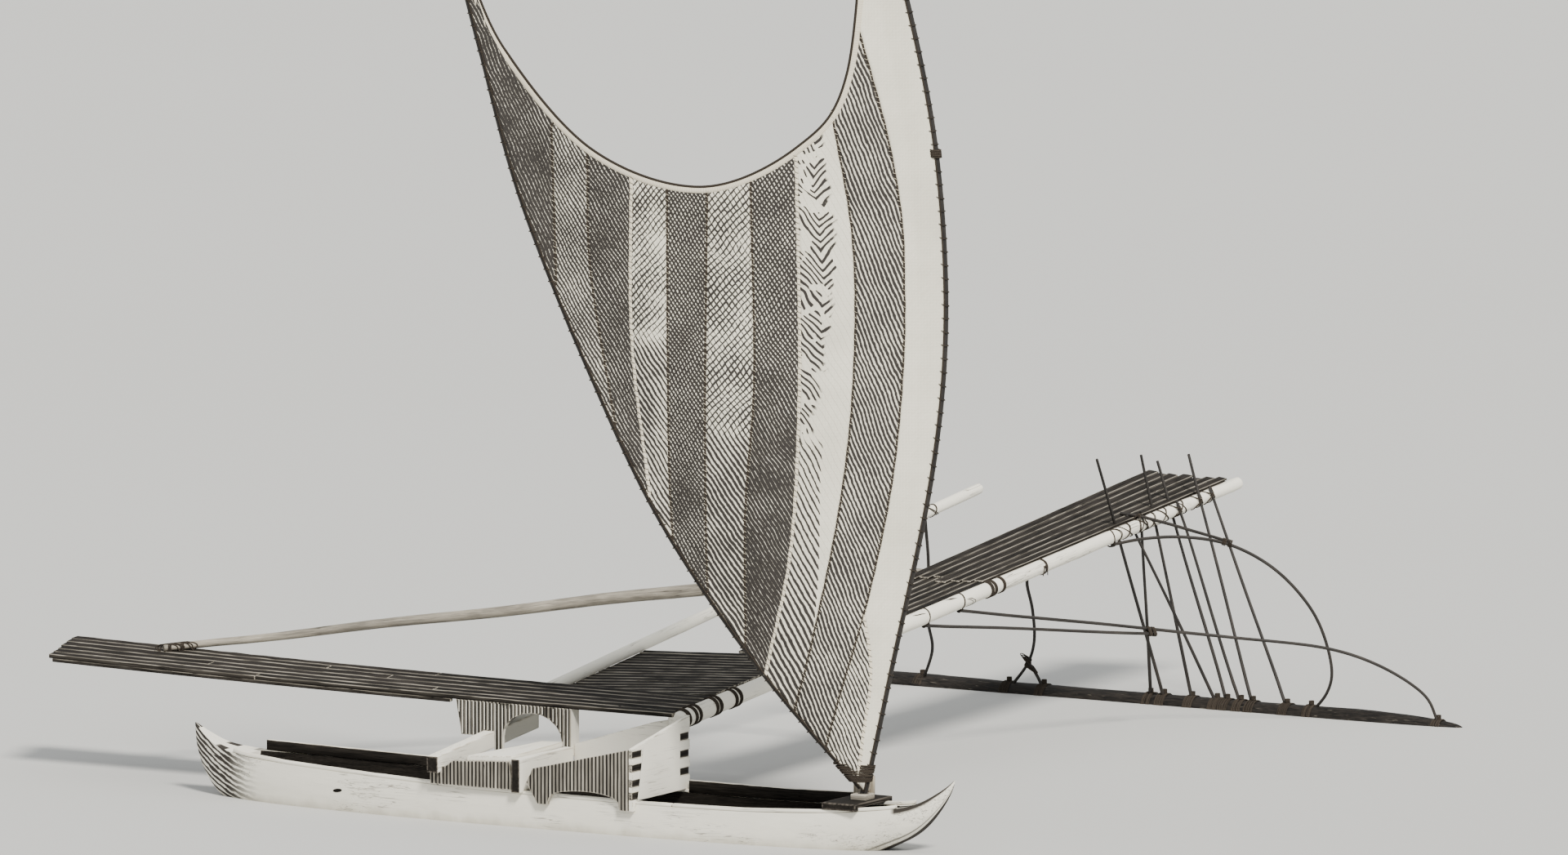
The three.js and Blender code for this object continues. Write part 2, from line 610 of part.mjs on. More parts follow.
// The mat bellies to lee between its spars. The belly is a share of the sail's width at each height,
// and a strip along each spar stays flat.
const SAIL_DRAFT = 0.05;
const FLAT_STRIP = 0.06;
function edgeAt(edge, z) {
  const i = edge.findIndex((point) => point[1] >= z);
  const [a, b] = i < 1 ? edge.slice(i, i + 2).concat(edge.slice(-2)) : [edge[i - 1], edge[i]];
  return a[0] + ((b[0] - a[0]) * (z - a[1])) / (b[1] - a[1]);
}
function belly(u, z) {
  const [luff, leech] = [edgeAt(LUFF, z), edgeAt(LEECH, z)];
  const width = leech - luff;
  const s = ((u - luff) / width - FLAT_STRIP) / (1 - 2 * FLAT_STRIP);
  return width > 0 && s > 0 && s < 1 ? 4 * s * (1 - s) * SAIL_DRAFT * width : 0;
}

function sailMat() {
  const outline = [
    ...curveOf(LUFF).getPoints(18),
    ...curveOf(HEAD).getPoints(24).reverse(),
    ...curveOf(LEECH).getPoints(18).reverse().slice(0, -1),
  ];
  const shape = new THREE.Shape(outline);
  const deep = 600;
  const prism = new THREE.ExtrudeGeometry(shape, { depth: deep, bevelEnabled: false });
  const field = { fromX: -1000, toX: 4300, fromY: 450, toY: 9950 };
  const cloth = slabGeometry(field, SAIL_THICK, (u, z) => -SAIL_THICK / 2 - belly(u, z), 32, 24);
  return inSailPlane(cloth, 0).intersect(inSailPlane(prism, -deep + SAIL_THICK));
}

// The two spars lie behind the mat's edges and meet at the tack.
const SPAR_BITE = 5; // the flat on each spar where the mat is laced to it
const sparDepth = SAIL_THICK / 2 + SPAR_R - SPAR_BITE;
function sparAlong(line, extra = 0) {
  const points = curveOf(line).getPoints(8).map((p) => sailPoint(p.x, p.y, sparDepth));
  return rod(points, SPAR_R + extra, 26, 8).subtract(sailLayer);
}
const foreSpar = (extra = 0) => sparAlong([[10, SPAR_FOOT_Z - extra], ...LUFF.slice(1)], extra);
const aftSpar = () => largest(sparAlong([[30, 600], ...LEECH.slice(1)]).subtract(foreSpar(GAP)));

// Bow: a thwart on the gunwales carries the tack block and the mast's cheeks
const bowThwartTop = sheerAt(BOW_THWART.toX) + RIM.height + BOW_THWART.thick;
function bowThwart() {
  const { fromX, toX, halfWidth, thick } = BOW_THWART;
  const bottom = bowThwartTop - thick - 30;
  return block(fromX, toX, -halfWidth, halfWidth, bottom, bowThwartTop).subtract(belowRim);
}

// The fore spar stands in a shallow round socket, in which it can turn.
const SOCKET = { r: 54, depth: 24, rim: 34 };
function tackBlock() {
  const footBox = foreSpar().boundingBox();
  const floor = footBox.min[2] - 2 * GAP;
  const [x, y] = sailPoint(10, SPAR_FOOT_Z, sparDepth);
  const half = SOCKET.r + SOCKET.rim;
  const wood = block(x - half, x + half, -80, y + half - 14, bowThwartTop + GAP, floor + SOCKET.depth);
  const socket = pole([x, y, floor], [x, y, floor + 100], SOCKET.r, SOCKET.r, 16);
  return wood.subtract(socket);
}

function mastStep() {
  const [x, y] = MAST.foot;
  const inner = MAST.r0 + CHEEK.clear;
  const outer = inner + CHEEK.thick;
  const [z0, z1] = [bowThwartTop + GAP, MAST_PIN.z + 60];
  const [x0, x1] = [x - CHEEK.halfLength, x + CHEEK.halfLength];
  const base = block(x0, x1, y - outer, y + outer, z0, z0 + 12);
  const cheeks = [-1, 1].map((side) => {
    const [a, b] = [y + side * inner, y + side * outer];
    return block(x0, x1, Math.min(a, b), Math.max(a, b), z0, z1);
  });
  const [pinFrom, pinTo] = [[x, y - outer + 5, MAST_PIN.z], [x, y + outer - 5, MAST_PIN.z]];
  const pin = pole(pinFrom, pinTo, MAST_PIN.r, MAST_PIN.r, 12);
  return joined([base, ...cheeks, pin]);
}

function mast() {
  const [x, y] = MAST.foot;
  const holeR = (MAST_PIN.r + GAP) / Math.cos(Math.PI / 12);
  const hole = pole([x, y - 200, MAST_PIN.z], [x, y + 200, MAST_PIN.z], holeR, holeR, 12);
  return pole(MAST.foot, MAST.head, MAST.r0, MAST.r1, 14).subtract(hole);
}

// Assembly
const canoe = new THREE.Group();
const materials = {};
for (const [name, color] of Object.entries(COLOURS)) {
  materials[name] = new THREE.MeshStandardMaterial({ color, roughness: 0.8, metalness: 0 });
}
function put(name, made, material) {
  const mesh = new THREE.Mesh(geometryOf(made), materials[material]);
  mesh.name = name;
  canoe.add(mesh);
}

put("hull", hull(), "limed");
put("gunwale_near", gunwaleStrip(-1, -3750, 3900, rimHeight), "limed");
put("gunwale_far", gunwaleStrip(1, AFT_STRAKE.to, FORE_STRAKE.from - GAP, rimHeight), "limed");
put("gunwale_far_fore", gunwaleStrip(1, FORE_STRAKE.to + GAP, 3900, rimHeight), "limed");
put("fore_strake", gunwaleStrip(1, FORE_STRAKE.from, FORE_STRAKE.to, foreStrakeHeight), "limed");
put("aft_strake", gunwaleStrip(1, AFT_STRAKE.from, AFT_STRAKE.to - GAP, strakeHeight), "limed");
put("bow_thwart", bowThwart(), "weathered");
put("tack_block", tackBlock(), "dark");
put("mast_step", mastStep(), "dark");
put("crib_board_fore", nearForeBoard(), "weathered");
put("crib_board_aft", nearAftBoard(), "weathered");
put("crib_board_far", farBoard(), "limed");
put("crib_end_board", endBoard(), "limed");
put("aft_cross_beam", aftBeam(), "limed");
put("middle_cross_bar", middleBar(), "limed");
put("crib_lid", cribLid(), "limed");
put("arch_board", archBoard(), "weathered");
put("fore_boom", foreBoom(), "limed");
put("aft_boom", aftBoom(), "limed");
put("aft_platform", aftPlatform(), "weathered");
put("diagonal_brace", diagonalBrace(), "pole");
put("centre_deck", centreDeck(), "dark");
put("outer_platform", outerPlatform(), "weathered");
for (const row of BATTENS) put(row[0], batten(row), "pole");
put("float", floatLog(), "dark");
for (const row of STICKS) put(row[0], floatStick(row), "pole");
for (const row of BENT_RODS) put(row[0], bentRod(row), "pole");
put("mast", mast(), "pole");
put("sail", sailMat(), "mat");
put("fore_spar", foreSpar(), "pole");
put("aft_spar", aftSpar(), "pole");

export default canoe;
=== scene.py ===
# A sailing canoe with one float. Metres, +X to the bow, +Y across to the float, +Z up, the water at 0.
import math
import random

import bmesh
import bpy
import numpy as np
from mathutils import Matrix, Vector


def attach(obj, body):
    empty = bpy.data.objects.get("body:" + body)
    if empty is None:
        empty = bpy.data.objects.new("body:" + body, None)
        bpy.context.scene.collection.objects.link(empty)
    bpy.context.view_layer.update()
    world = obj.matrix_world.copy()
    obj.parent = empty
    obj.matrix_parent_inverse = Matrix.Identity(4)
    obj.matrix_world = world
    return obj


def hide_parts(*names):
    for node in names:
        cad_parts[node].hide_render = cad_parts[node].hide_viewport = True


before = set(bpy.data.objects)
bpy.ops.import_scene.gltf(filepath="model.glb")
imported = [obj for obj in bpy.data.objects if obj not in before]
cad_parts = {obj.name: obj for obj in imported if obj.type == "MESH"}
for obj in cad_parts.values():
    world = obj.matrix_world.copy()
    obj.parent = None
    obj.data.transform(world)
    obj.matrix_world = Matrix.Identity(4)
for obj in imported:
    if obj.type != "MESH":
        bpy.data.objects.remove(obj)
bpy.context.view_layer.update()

# View: almost without perspective, from the bow's side of abeam
VIEW_TURN = math.radians(30.3)
VIEW_RISE = math.radians(7.45)
VIEW_AWAY = 350.0
LOOK_AT = Vector((2.502, 0.0, 4.135))
PIXELS_PER_METRE = 123.66
FRAME_PIXELS = 1920
SENSOR = 36.0

# Hull. Columns: x, half beam, height of the sheer, height of the keel.
HULL_STATIONS = [
    (-4.320, 0.008, 0.711, 0.655),
    (-4.292, 0.026, 0.690, 0.455),
    (-4.190, 0.070, 0.618, 0.217),
    (-4.000, 0.142, 0.520, 0.010),
    (-3.610, 0.262, 0.452, -0.135),
    (-3.000, 0.382, 0.420, -0.262),
    (-2.000, 0.478, 0.385, -0.372),
    (-0.900, 0.518, 0.350, -0.425),
    (0.000, 0.525, 0.335, -0.440),
    (1.200, 0.518, 0.328, -0.425),
    (2.300, 0.462, 0.335, -0.368),
    (3.200, 0.356, 0.372, -0.200),
    (3.800, 0.240, 0.430, 0.050),
    (4.000, 0.190, 0.466, 0.150),
    (4.150, 0.138, 0.520, 0.265),
    (4.330, 0.066, 0.632, 0.475),
    (4.420, 0.026, 0.706, 0.620),
    (4.453, 0.008, 0.742, 0.700),
]
HULL_WALL = 0.045
# A section is a half oval: these powers of cosine and sine give its width and its depth.
SECTION_POWERS = (0.75, 0.85)
HOLLOW = (-3.64, 3.76)
HOLLOW_ROUNDING = 0.3
BOW_KEEL_SHADE_FROM = 3.3
BOW_TOP_SHADE_FROM = 3.7
BOW_RIM_SHADE_FROM = 3.88
STERN_SHADE_LINES_FROM = -3.35
RIM_WIDTH = 0.062
RIM_HEIGHT = 0.034
STRIP_WIDTH = 0.056
STRAKE = (-3.62, -1.25)
STRAKE_HEIGHT = 0.105
FORE_STRAKE = (1.13, 3.13)
FORE_STRAKE_HEIGHT = 0.125
PLUG = (-2.40, 0.21)

# Dark keys in the crib's end board, which stand for the shade in its slots: x of their backs, half their
# height, their thickness, the ends of the near row and of the far row, and the heights of their middles
KEY_X = 1.060
KEY_HALF = 0.0365
KEY_THICK = 0.030
KEY_ROWS = [
    ((-0.57235, -0.39035), (0.412, 0.538, 0.69, 0.825)),
    ((0.357, 0.539), (0.545, 0.72, 0.895)),
]
FLUTE = 0.042

# Booms: x, inner and outer y, height at y = 0, rise for each metre, inner and outer radius
FORE_BOOM = dict(x=0.98, y0=0.46, y1=11.8, z0=0.985, rise=0.0972, r0=0.094, r1=0.062)
AFT_BOOM = dict(x=-0.98, y0=0.46, y1=9.9, z0=0.975, rise=0.1198, r0=0.062, r1=0.055)
TONGUE = dict(y1=0.62, bottom=1.028)
FORE_BANDS = (0.73, 0.81, 1.14, 1.22, 1.52, 1.61, 6.65, 6.72, 6.89)
AFT_BANDS = (6.9,)
KNOT_Y = 7.75

PLANK = 0.042
AFT_PLATFORM = dict(x0=-6.5, x1=0.96, y0=0.45, y1=1.25, bottom=1.072, bend=0.0018, rise=0.098)
AFT_PLATFORM_NEAR_END = -6.31
AFT_JOINTS = (-3.9, -1.9, -4.6, -2.6, -3.4, -2.2)
# Battens under the aft platform: their height, x of the first, the step to the next, and their ends
UNDER_HEIGHT = 0.036
UNDER_FROM = -6.1
UNDER_STEP = 0.86
UNDER_SPAN = (0.51, 1.19)
CENTRE_DECK = dict(x0=-0.935, x1=0.96, y0=1.285, y1=3.1)
DECK_BELOW_AXIS = 0.085
OUTER_PLATFORM = dict(x0=0.095, x1=0.96, y0=3.125, y1=11.65)
UPPER_PLANKS_FROM = 6.45
BOOM_FLAT = 0.03
BATTEN_WIDTH = 0.07
BATTEN_HEIGHT = 0.046
# Columns: node, y, from x, to x.
BATTENS = [
    ("batten_1", 5.64, -1.09, 0.96),
    ("batten_2", 7.0, -1.09, 0.96),
    ("batten_3", 8.9, 0.04, 0.96),
    ("batten_4", 11.25, 0.04, 0.96),
]
BRACE_AFT = (-5.3, 1.0)
BRACE_FORE = (-0.85, 5.39)
BRACE_R = (0.036, 0.07)

FLOAT_Y = 10.5
FLOAT_Z = -0.03
FLOAT_TOP = FLOAT_Z + 0.06
# Columns: x, radius of the float there.
FLOAT_PROFILE = [
    (-3.350, 0.030), (-3.345, 0.038), (-3.190, 0.080), (-2.730, 0.130), (-0.5, 0.132), (2.0, 0.130),
    (3.400, 0.130), (3.940, 0.100), (4.300, 0.052), (4.352, 0.020),
]
STICK_R = 0.018
ROD_R = 0.017
# Columns: node, side of the fore boom, y where it crosses the boom, x of its foot, length above the boom.
STICKS = [
    ("float_stick_1", -1, 9.45, 0.86, 0.9),
    ("float_stick_2", -1, 9.95, 0.70, 0.11),
    ("float_stick_3", -1, 10.2, 1.19, 0.64),
    ("float_stick_4", -1, 9.75, 1.48, 0.11),
    ("float_stick_5", -1, 10.56, 1.60, 0.5),
    ("float_stick_6", 1, 10.45, 1.76, 0.12),
    ("float_stick_7", 1, 10.88, 1.90, 0.52),
    ("float_stick_8", 1, 11.12, 2.30, 0.13),
]
BENT_RODS = {
    "float_hoop": [
        (0.98, 9.18, 1.795), (1.3, 9.3, 1.868), (1.676, 9.5, 1.883), (2.06, 9.7, 1.811), (2.416, 9.9, 1.606),
        (2.669, 10.1, 1.303), (2.818, 10.25, 0.975), (2.872, 10.4, 0.483), (2.78, 10.46, 0.25),
        (2.58, 10.5, FLOAT_TOP),
    ],
    "float_long_rod": [
        (0.98, 6.098, 1.487), (1.45, 7.6, 1.23), (1.89, 8.8, 1.022), (2.357, 9.3, 0.929),
        (3.153, 9.8, 0.81), (3.546, 10.05, 0.659), (3.864, 10.25, 0.451), (3.996, 10.4, 0.272),
        (4.06, 10.5, 0.01),
    ],
    "aft_stanchion_inner": [
        (-1.049, 8.9, 2.1), (-1.23, 9.3, 1.5), (-1.56, 9.85, 0.8), (-1.7, 10.2, 0.42),
        (-1.99, 10.5, FLOAT_TOP),
    ],
    "aft_stanchion_outer": [
        (0.5, 8.925, 1.852), (0.2, 9.3, 1.7), (-0.15, 9.65, 1.48), (-0.47, 10.0, 1.228),
        (-0.49, 10.15, 0.918), (-0.559, 10.3, 0.57), (-0.69, 10.4, 0.328), (-0.966, 10.5, FLOAT_TOP),
    ],
    "float_long_rod_2": [(0.98, 5.39, 1.416), (1.25, 6.7, 1.25), (1.54, 7.8, 1.11), (1.82, 8.56, 1.015)],
    "hoop_brace": [
        (0.77, 9.745, 2.04), (0.98, 9.74, 2.03), (1.3, 9.725, 1.985), (1.7, 9.715, 1.91),
        (2.05, 9.7, 1.846),
    ],
    "stanchion_fork": [(-0.68, 10.395, 0.33), (-0.61, 10.45, 0.19), (-0.555, 10.5, FLOAT_TOP)],
}
# x of the feet of the rods that stand on the float
ROD_FEET = (2.58, 4.06, -1.99, -0.966, -0.555)

MAST_FOOT = (3.27, 0.262, 0.53)
MAST_HEAD = (3.79, 0.45, 7.0)
MAST_R = (0.06, 0.044)
MAST_PIN_Z = 0.61
CHEEK_CLEAR, CHEEK_THICK = 0.006, 0.030
SOCKET_R = 0.054

# Sail, in its own plane: how far aft of the tack, and the height above the water
TACK = Vector((3.42, 0.0, 0.56))
SAIL_SWING = math.radians(25)
SAIL_DRAFT = 0.05
FLAT_STRIP = 0.06
SPAR_R = 0.038
SPAR_AWAY = 0.041
LACE_AWAY = 0.034
LACE_R = 0.0455
SPAR_FOOT = (0.010, 0.522)
AFT_SPAR_FOOT = (0.03, 0.6)
LUFF = [
    (0, 0.56), (-0.246, 1.725), (-0.656, 3.715), (-0.795, 5.265), (-0.697, 6.953), (-0.393, 8.516),
    (-0.033, 9.747),
]
LEECH = [
    (0, 0.56), (1.0, 1.735), (1.959, 3.141), (2.656, 4.567), (3.385, 6.387), (3.8, 7.9), (4.025, 8.794),
]
HEAD = [
    (3.94, 8.76), (3.566, 7.918), (2.689, 6.948), (1.6, 6.6), (0.648, 7.004), (0.164, 7.727), (0, 9.6),
]
# Seams, from the head down to the leech
SEAMS = {
    1: [(3.10, 7.20), (3.06, 5.57)],
    2: [(2.74, 6.91), (2.72, 5.78), (2.47, 4.18)],
    3: [(2.30, 6.70), (2.30, 5.02), (2.13, 3.49)],
    4: [(1.94, 6.61), (1.94, 4.58), (1.93, 3.54), (1.90, 3.05)],
    5: [(1.54, 6.63), (1.57, 3.97), (1.56, 2.66), (1.55, 2.54)],
    6: [(1.11, 6.71), (1.08, 4.59), (1.17, 3.39), (1.18, 2.00)],
    7: [(0.66, 6.91), (0.63, 4.60), (0.73, 2.90), (0.95, 1.86), (0.98, 1.71)],
    9: [(0.32, 7.40), (0.10, 6.04), (0.10, 4.61), (0.24, 3.37), (0.56, 1.86), (0.70, 1.35)],
    10: [
        (0.07, 8.23), (-0.25, 7.03), (-0.38, 6.21), (-0.40, 5.62), (-0.40, 5.06), (-0.33, 4.06),
        (-0.23, 3.37), (0.00, 2.33), (0.23, 1.55), (0.38, 1.00),
    ],
    11: [(0.00, 2.33), (-0.07, 1.76), (0.01, 1.10), (0.07, 0.64)],
}
PALE_SEAMS = (3, 7, 11)
FORK = (0.00, 2.33)
PANEL_NET = (14, 120)
# For each strip from the leech to the luff: its pattern of painted shade lines, the dark share of its lines
# and of the lines that cross them at the foot and at the head, their slant and pitch, and the heights
# between which they change
MAT_LOOKS = [
    dict(pattern="lines", ink=(0.80, 0.92), crossing=(0.0, 0.20), steep=66, pitch=0.033),
    dict(pattern="lines", ink=(0.70, 0.64), crossing=(0.05, 0.22), steep=60, pitch=0.033),
    dict(pattern="lines", ink=(0.84, 0.84), crossing=(0.15, 0.30), steep=60, pitch=0.034),
    dict(pattern="lines", ink=(0.54, 0.20), crossing=(0.0, 0.32), steep=58, pitch=0.041, change=(4.9, 5.2),
         patchy=0.9),
    dict(pattern="lines", ink=(0.84, 0.70), crossing=(0.36, 0.48), steep=60, pitch=0.032),
    dict(pattern="lines", ink=(0.66, 0.27), crossing=(0.0, 0.34), steep=56, pitch=0.045, change=(3.9, 4.3),
         patchy=0.6),
    dict(pattern="lines", ink=(0.94, 0.68), crossing=(0.10, 0.45), steep=59, pitch=0.036, change=(3.6, 5.6)),
    dict(pattern="feather", steep=62, pitch=0.054, stroke=0.082),
    dict(pattern="lines", ink=(0.64, 0.64), crossing=(0.0, 0.0), steep=68, pitch=0.040),
    dict(pattern="lines", ink=(0.50, 0.35), crossing=(0.0, 0.0), steep=66, pitch=0.038),
    dict(pattern="plain"),
]

CORD_R = 0.0055
TACK_TURNS = 15
TACK_LASH_FROM = 0.66
TACK_LASH_PITCH = 0.0115
# The middle of the aft cross beam where cord goes round it, and its half size
CROSS_BEAM_AT = np.array([-1.175, 0.61, 0.7211])
CROSS_BEAM_HALF = np.array([0.065, 0, 0.0825])


# Small sums
def unit(v):
    v = np.asarray(v, float)
    return v / max(np.linalg.norm(v), 1e-12)


def smooth(t):
    t = np.clip(t, 0.0, 1.0)
    return t * t * (3 - 2 * t)


def circle(count):
    """Angles at equal steps, once round."""
    return np.arange(count) * 2 * math.pi / count


def run_along(path):
    """How far along a line each of its points lies."""
    return np.concatenate([[0], np.cumsum(np.linalg.norm(np.diff(path, axis=0), axis=1))])


def ways_along(path):
    """The direction of a line at each of its points."""
    way = np.gradient(path, axis=0)
    return way / np.linalg.norm(way, axis=1)[:, None]


def way_at(line, i):
    """The direction of a dense line about its point i, not of unit length."""
    return line[min(i + 2, len(line) - 1)] - line[max(i - 2, 0)]


def nearest(line, point):
    return int(np.argmin(np.linalg.norm(line - np.asarray(point), axis=1)))


def through(points, spacing, alpha=0.5):
    """A smooth curve through points. Its ends run on straight for alpha 0.5, as a wire's do."""
    p = np.asarray(points, float)
    first = 2 * p[0] - p[1] if alpha else p[0]
    last = 2 * p[-1] - p[-2] if alpha else p[-1]
    q = np.vstack([first, p, last])
    made = []
    for i in range(len(p) - 1):
        a, b, c, d = q[i:i + 4]
        count = max(2, int(math.ceil(np.linalg.norm(c - b) / spacing)))
        t = np.arange(count)[:, None] / count
        made.append(segment(a, b, c, d, t, alpha))
    return np.vstack([*made, p[-1:]])


def segment(a, b, c, d, t, alpha):
    """One stretch of a curve through b and c, between the points a and d."""
    if not alpha:
        v0, v1 = (c - a) / 2, (d - b) / 2
    else:
        k0, k1, k2 = (max(np.linalg.norm(e), 1e-6) ** alpha for e in (b - a, c - b, d - c))
        v0 = ((b - a) / k0 - (c - a) / (k0 + k1) + (c - b) / k1) * k1
        v1 = ((c - b) / k1 - (d - b) / (k1 + k2) + (d - c) / k2) * k1
    return (2 * b - 2 * c + v0 + v1) * t**3 + (3 * c - 3 * b - 2 * v0 - v1) * t**2 + v0 * t + b


def resample(points, count):
    """The same line with a number of points at equal distances."""
    run = run_along(points)
    at = np.linspace(0, run[-1], count)
    return np.stack([np.interp(at, run, column) for column in np.transpose(points)], axis=1)


def ripple(p, scale, seed=0):
    """A smooth made-up unevenness between about -1 and 1 at each point, the same on each run."""
    dice = np.random.default_rng(seed)
    total = np.zeros(len(p))
    for octave in range(5):
        way = dice.normal(size=p.shape[1])
        way *= (1 + 0.6 * octave) / scale / np.linalg.norm(way)
        total += np.sin(p @ way * 2 * math.pi + dice.uniform(0, 7)) / (1 + 0.5 * octave)
    return total / 2.2


def ripple_net(nets, scale, seed):
    """The unevenness on a net of points, given as its coordinates, each [i][j]."""
    return ripple(np.stack([net.ravel() for net in nets], 1), scale, seed).reshape(nets[0].shape)


# Meshes
def into_scene(name, data):
    made = bpy.data.objects.new(name, data)
    bpy.context.scene.collection.objects.link(made)
    return made


class Shape:
    """Gathers vertices and faces, with each point's place in the wood, its shade and its share of edge."""

    def __init__(self):
        self.places, self.faces, self.grain, self.shade, self.edge, self.kinds = [], [], [], [], [], []
        self.count = 0

    def add(self, places, faces, grain=None, shade=0.5, edge=0.0, kind=0):
        """kind is the number of the material: one for all the faces, or one for each."""
        places = np.asarray(places, float).reshape(-1, 3)
        n = len(places)
        self.places.append(places)
        self.grain.append(places if grain is None else np.asarray(grain, float).reshape(-1, 3))
        self.shade.append(np.broadcast_to(np.ravel(shade), (n,)))
        self.edge.append(np.broadcast_to(np.ravel(edge), (n,)))
        self.faces.extend([tuple(int(i) + self.count for i in f) for f in faces])
        self.kinds.extend([kind] * len(faces) if isinstance(kind, int) else kind)
        self.count += n

    def grid(self, places, closed_j=False, cap=False, **facts):
        """A net of points [i][j]. closed_j joins the last column to the first, and cap closes both ends."""
        rows, columns = places.shape[:2]
        faces = []
        for i in range(rows - 1):
            for j in range(columns if closed_j else columns - 1):
                k = (j + 1) % columns
                one, two = i * columns, (i + 1) * columns
                faces.append((one + j, one + k, two + k, two + j))
        if cap:
            faces.append(tuple(range(columns))[::-1])
            faces.append(tuple((rows - 1) * columns + j for j in range(columns)))
        self.add(places, faces, **facts)

    def tube(self, path, radius, sides=6, closed=False, **facts):
        """A round cord along a path, which may be a closed loop."""
        path = np.asarray(path, float)
        before = path[-1:] if closed else 2 * path[:1] - path[1:2]
        after = path[:1] if closed else 2 * path[-1:] - path[-2:-1]
        longer = np.vstack([before, path, after])
        way = longer[2:] - longer[:-2]
        way /= np.maximum(np.linalg.norm(way, axis=1), 1e-9)[:, None]
        side = frames_along(way)
        a = circle(sides)
        places = path[:, None] + radius * spokes(side, np.cross(way, side), a)
        run = run_along(path)[:, None] + 0 * a
        round_it = radius * np.array([np.cos(a), np.sin(a)])[:, None] + 0 * run
        grain = np.stack([*round_it, run], axis=2)
        if closed:
            places = np.concatenate([places, places[:1]])
            grain = np.concatenate([grain, grain[-1:] + (0, 0, 0.001)])
        self.grid(places, closed_j=True, cap=not closed, grain=grain, **facts)

    def loop(self, path, radius, dice, sides=5):
        """One turn of cord."""
        self.tube(path, radius, sides, closed=True, shade=dice.uniform(0.2, 0.8))

    def piece(self, name, materials, body="canoe", replaces=(), crease=None):
        mesh = bpy.data.meshes.new(name)
        mesh.from_pydata(np.concatenate(self.places).tolist(), [], self.faces)
        for key, kind, field in (
            ("grain", "FLOAT_VECTOR", "vector"), ("shade", "FLOAT", "value"), ("edge", "FLOAT", "value"),
        ):
            layer = mesh.attributes.new(key, kind, "POINT")
            layer.data.foreach_set(field, np.concatenate(getattr(self, key)).ravel())
        mesh.polygons.foreach_set("material_index", self.kinds)
        tidy_mesh(mesh, crease)
        for material in materials if isinstance(materials, list) else [materials]:
            mesh.materials.append(material)
        obj = into_scene(name, mesh)
        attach(obj, body)
        if replaces:
            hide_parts(*replaces)
        return obj

    def stand_in(self, node, materials, crease=45, body="canoe", name=None):
        """The piece that replaces one node of the frame."""
        return self.piece(name or node + "_wood", materials, body, [node], crease)


def tidy_mesh(mesh, crease):
    """Faces point out, and edges sharper than crease look sharp."""
    made = bmesh.new()
    made.from_mesh(mesh)
    bmesh.ops.recalc_face_normals(made, faces=made.faces)
    for face in made.faces:
        face.smooth = True
    if crease:
        for edge in made.edges:
            if len(edge.link_faces) == 2 and edge.calc_face_angle(0) > math.radians(crease):
                edge.smooth = False
    made.to_mesh(mesh)
    made.free()


def frames_along(way):
    """A sideways direction at each point of a path, turned as little as possible from one to the next."""
    side = np.zeros_like(way)
    start = np.array([0, 0, 1.0]) if abs(way[0][2]) < 0.9 else np.array([1.0, 0, 0])
    side[0] = unit(np.cross(way[0], start))
    for i in range(1, len(way)):
        side[i] = unit(side[i - 1] - way[i] * (side[i - 1] @ way[i]))
    return side


def spokes(side, up, a):
    """Unit vectors round a path: [i][j] for each of its points and each angle."""
    return side[:, None] * np.cos(a)[None, :, None] + up[:, None] * np.sin(a)[None, :, None]


def pole(shape, path, r0, r1, sides=20, knots=0.03, shade=0.5, seed=0, wander=0.0):
    """A round pole with uneven girth, small knots and rounded ends that show the end grain."""
    path = np.asarray(path, float)
    run = run_along(path)
    length = run[-1]
    ends = np.array([0, 0.12, 0.35]) * r0
    at = np.unique(np.round(np.concatenate([ends, run[1:-1], length - ends * r1 / r0]), 5))
    at = at[np.concatenate([[True], np.diff(at) > 0.1 * r1])]
    at[-1] = length
    path = np.stack([np.interp(at, run, column) for column in path.T], axis=1)
    way = ways_along(path)
    side = frames_along(way)
    up = np.cross(way, side)
    dice = np.random.default_rng(seed)
    if wander:
        ease = smooth(np.minimum(at, length - at) / max(0.15 * length, 1e-6))
        for axis in (side, up):
            wave = np.sin(at * 2 * math.pi / dice.uniform(2.2, 3.6) + dice.uniform(0, 6))
            path = path + axis * (wander * wave * ease)[:, None]
    a = circle(sides)
    round_off = np.ones(len(at))
    round_off[[0, -1]] = 0.86
    round_off[[1, -2]] = 0.965
    radius = (r0 + (r1 - r0) * at / length) * round_off
    angle, along = np.meshgrid(a, at)
    r = radius[:, None] * pole_girth(angle, along, r0, knots, seed, dice)
    places = path[:, None] + r[..., None] * spokes(side, up, a)
    off = dice.uniform(-5, 5)
    grain = np.stack([r * np.cos(angle) + 0.1 * r0, r * np.sin(angle) - 0.07 * r0, along + off], axis=2)
    shape.grid(places, closed_j=True, grain=grain, shade=shade)
    inwards = np.array([0.999, 0.55, 0.02])[:, None, None]
    for row, sign in ((0, -1), (-1, 1)):
        bulge = sign * way[row] * 0.10 * r0 * (1 - inwards)
        rings = path[row] + (places[row] - path[row]) * inwards + bulge
        heart = grain[row] * np.concatenate([inwards, inwards, inwards**0], axis=2)
        shape.grid(rings, closed_j=True, grain=heart, shade=shade)
        shape.add(rings[-1].copy(), [tuple(range(sides))], grain=heart[-1], shade=shade)


def pole_girth(angle, along, r0, knots, seed, dice):
    """How a pole's radius varies with lumps and small knots."""
    around = (np.cos(angle), np.sin(angle), along * 1.3)
    girth = 1 + knots * ripple_net(around, 2.2, seed)
    length = along[-1, 0]
    for _ in range(int(length / 1.1)):
        where, turn = dice.uniform(0.1, length - 0.1), dice.uniform(0, 6.28)
        near = np.exp(-(((along - where) / (1.1 * r0)) ** 2) - ((1 - np.cos(angle - turn)) / 0.25))
        girth += 2.2 * knots * near
    return np.minimum(girth, 1.06)


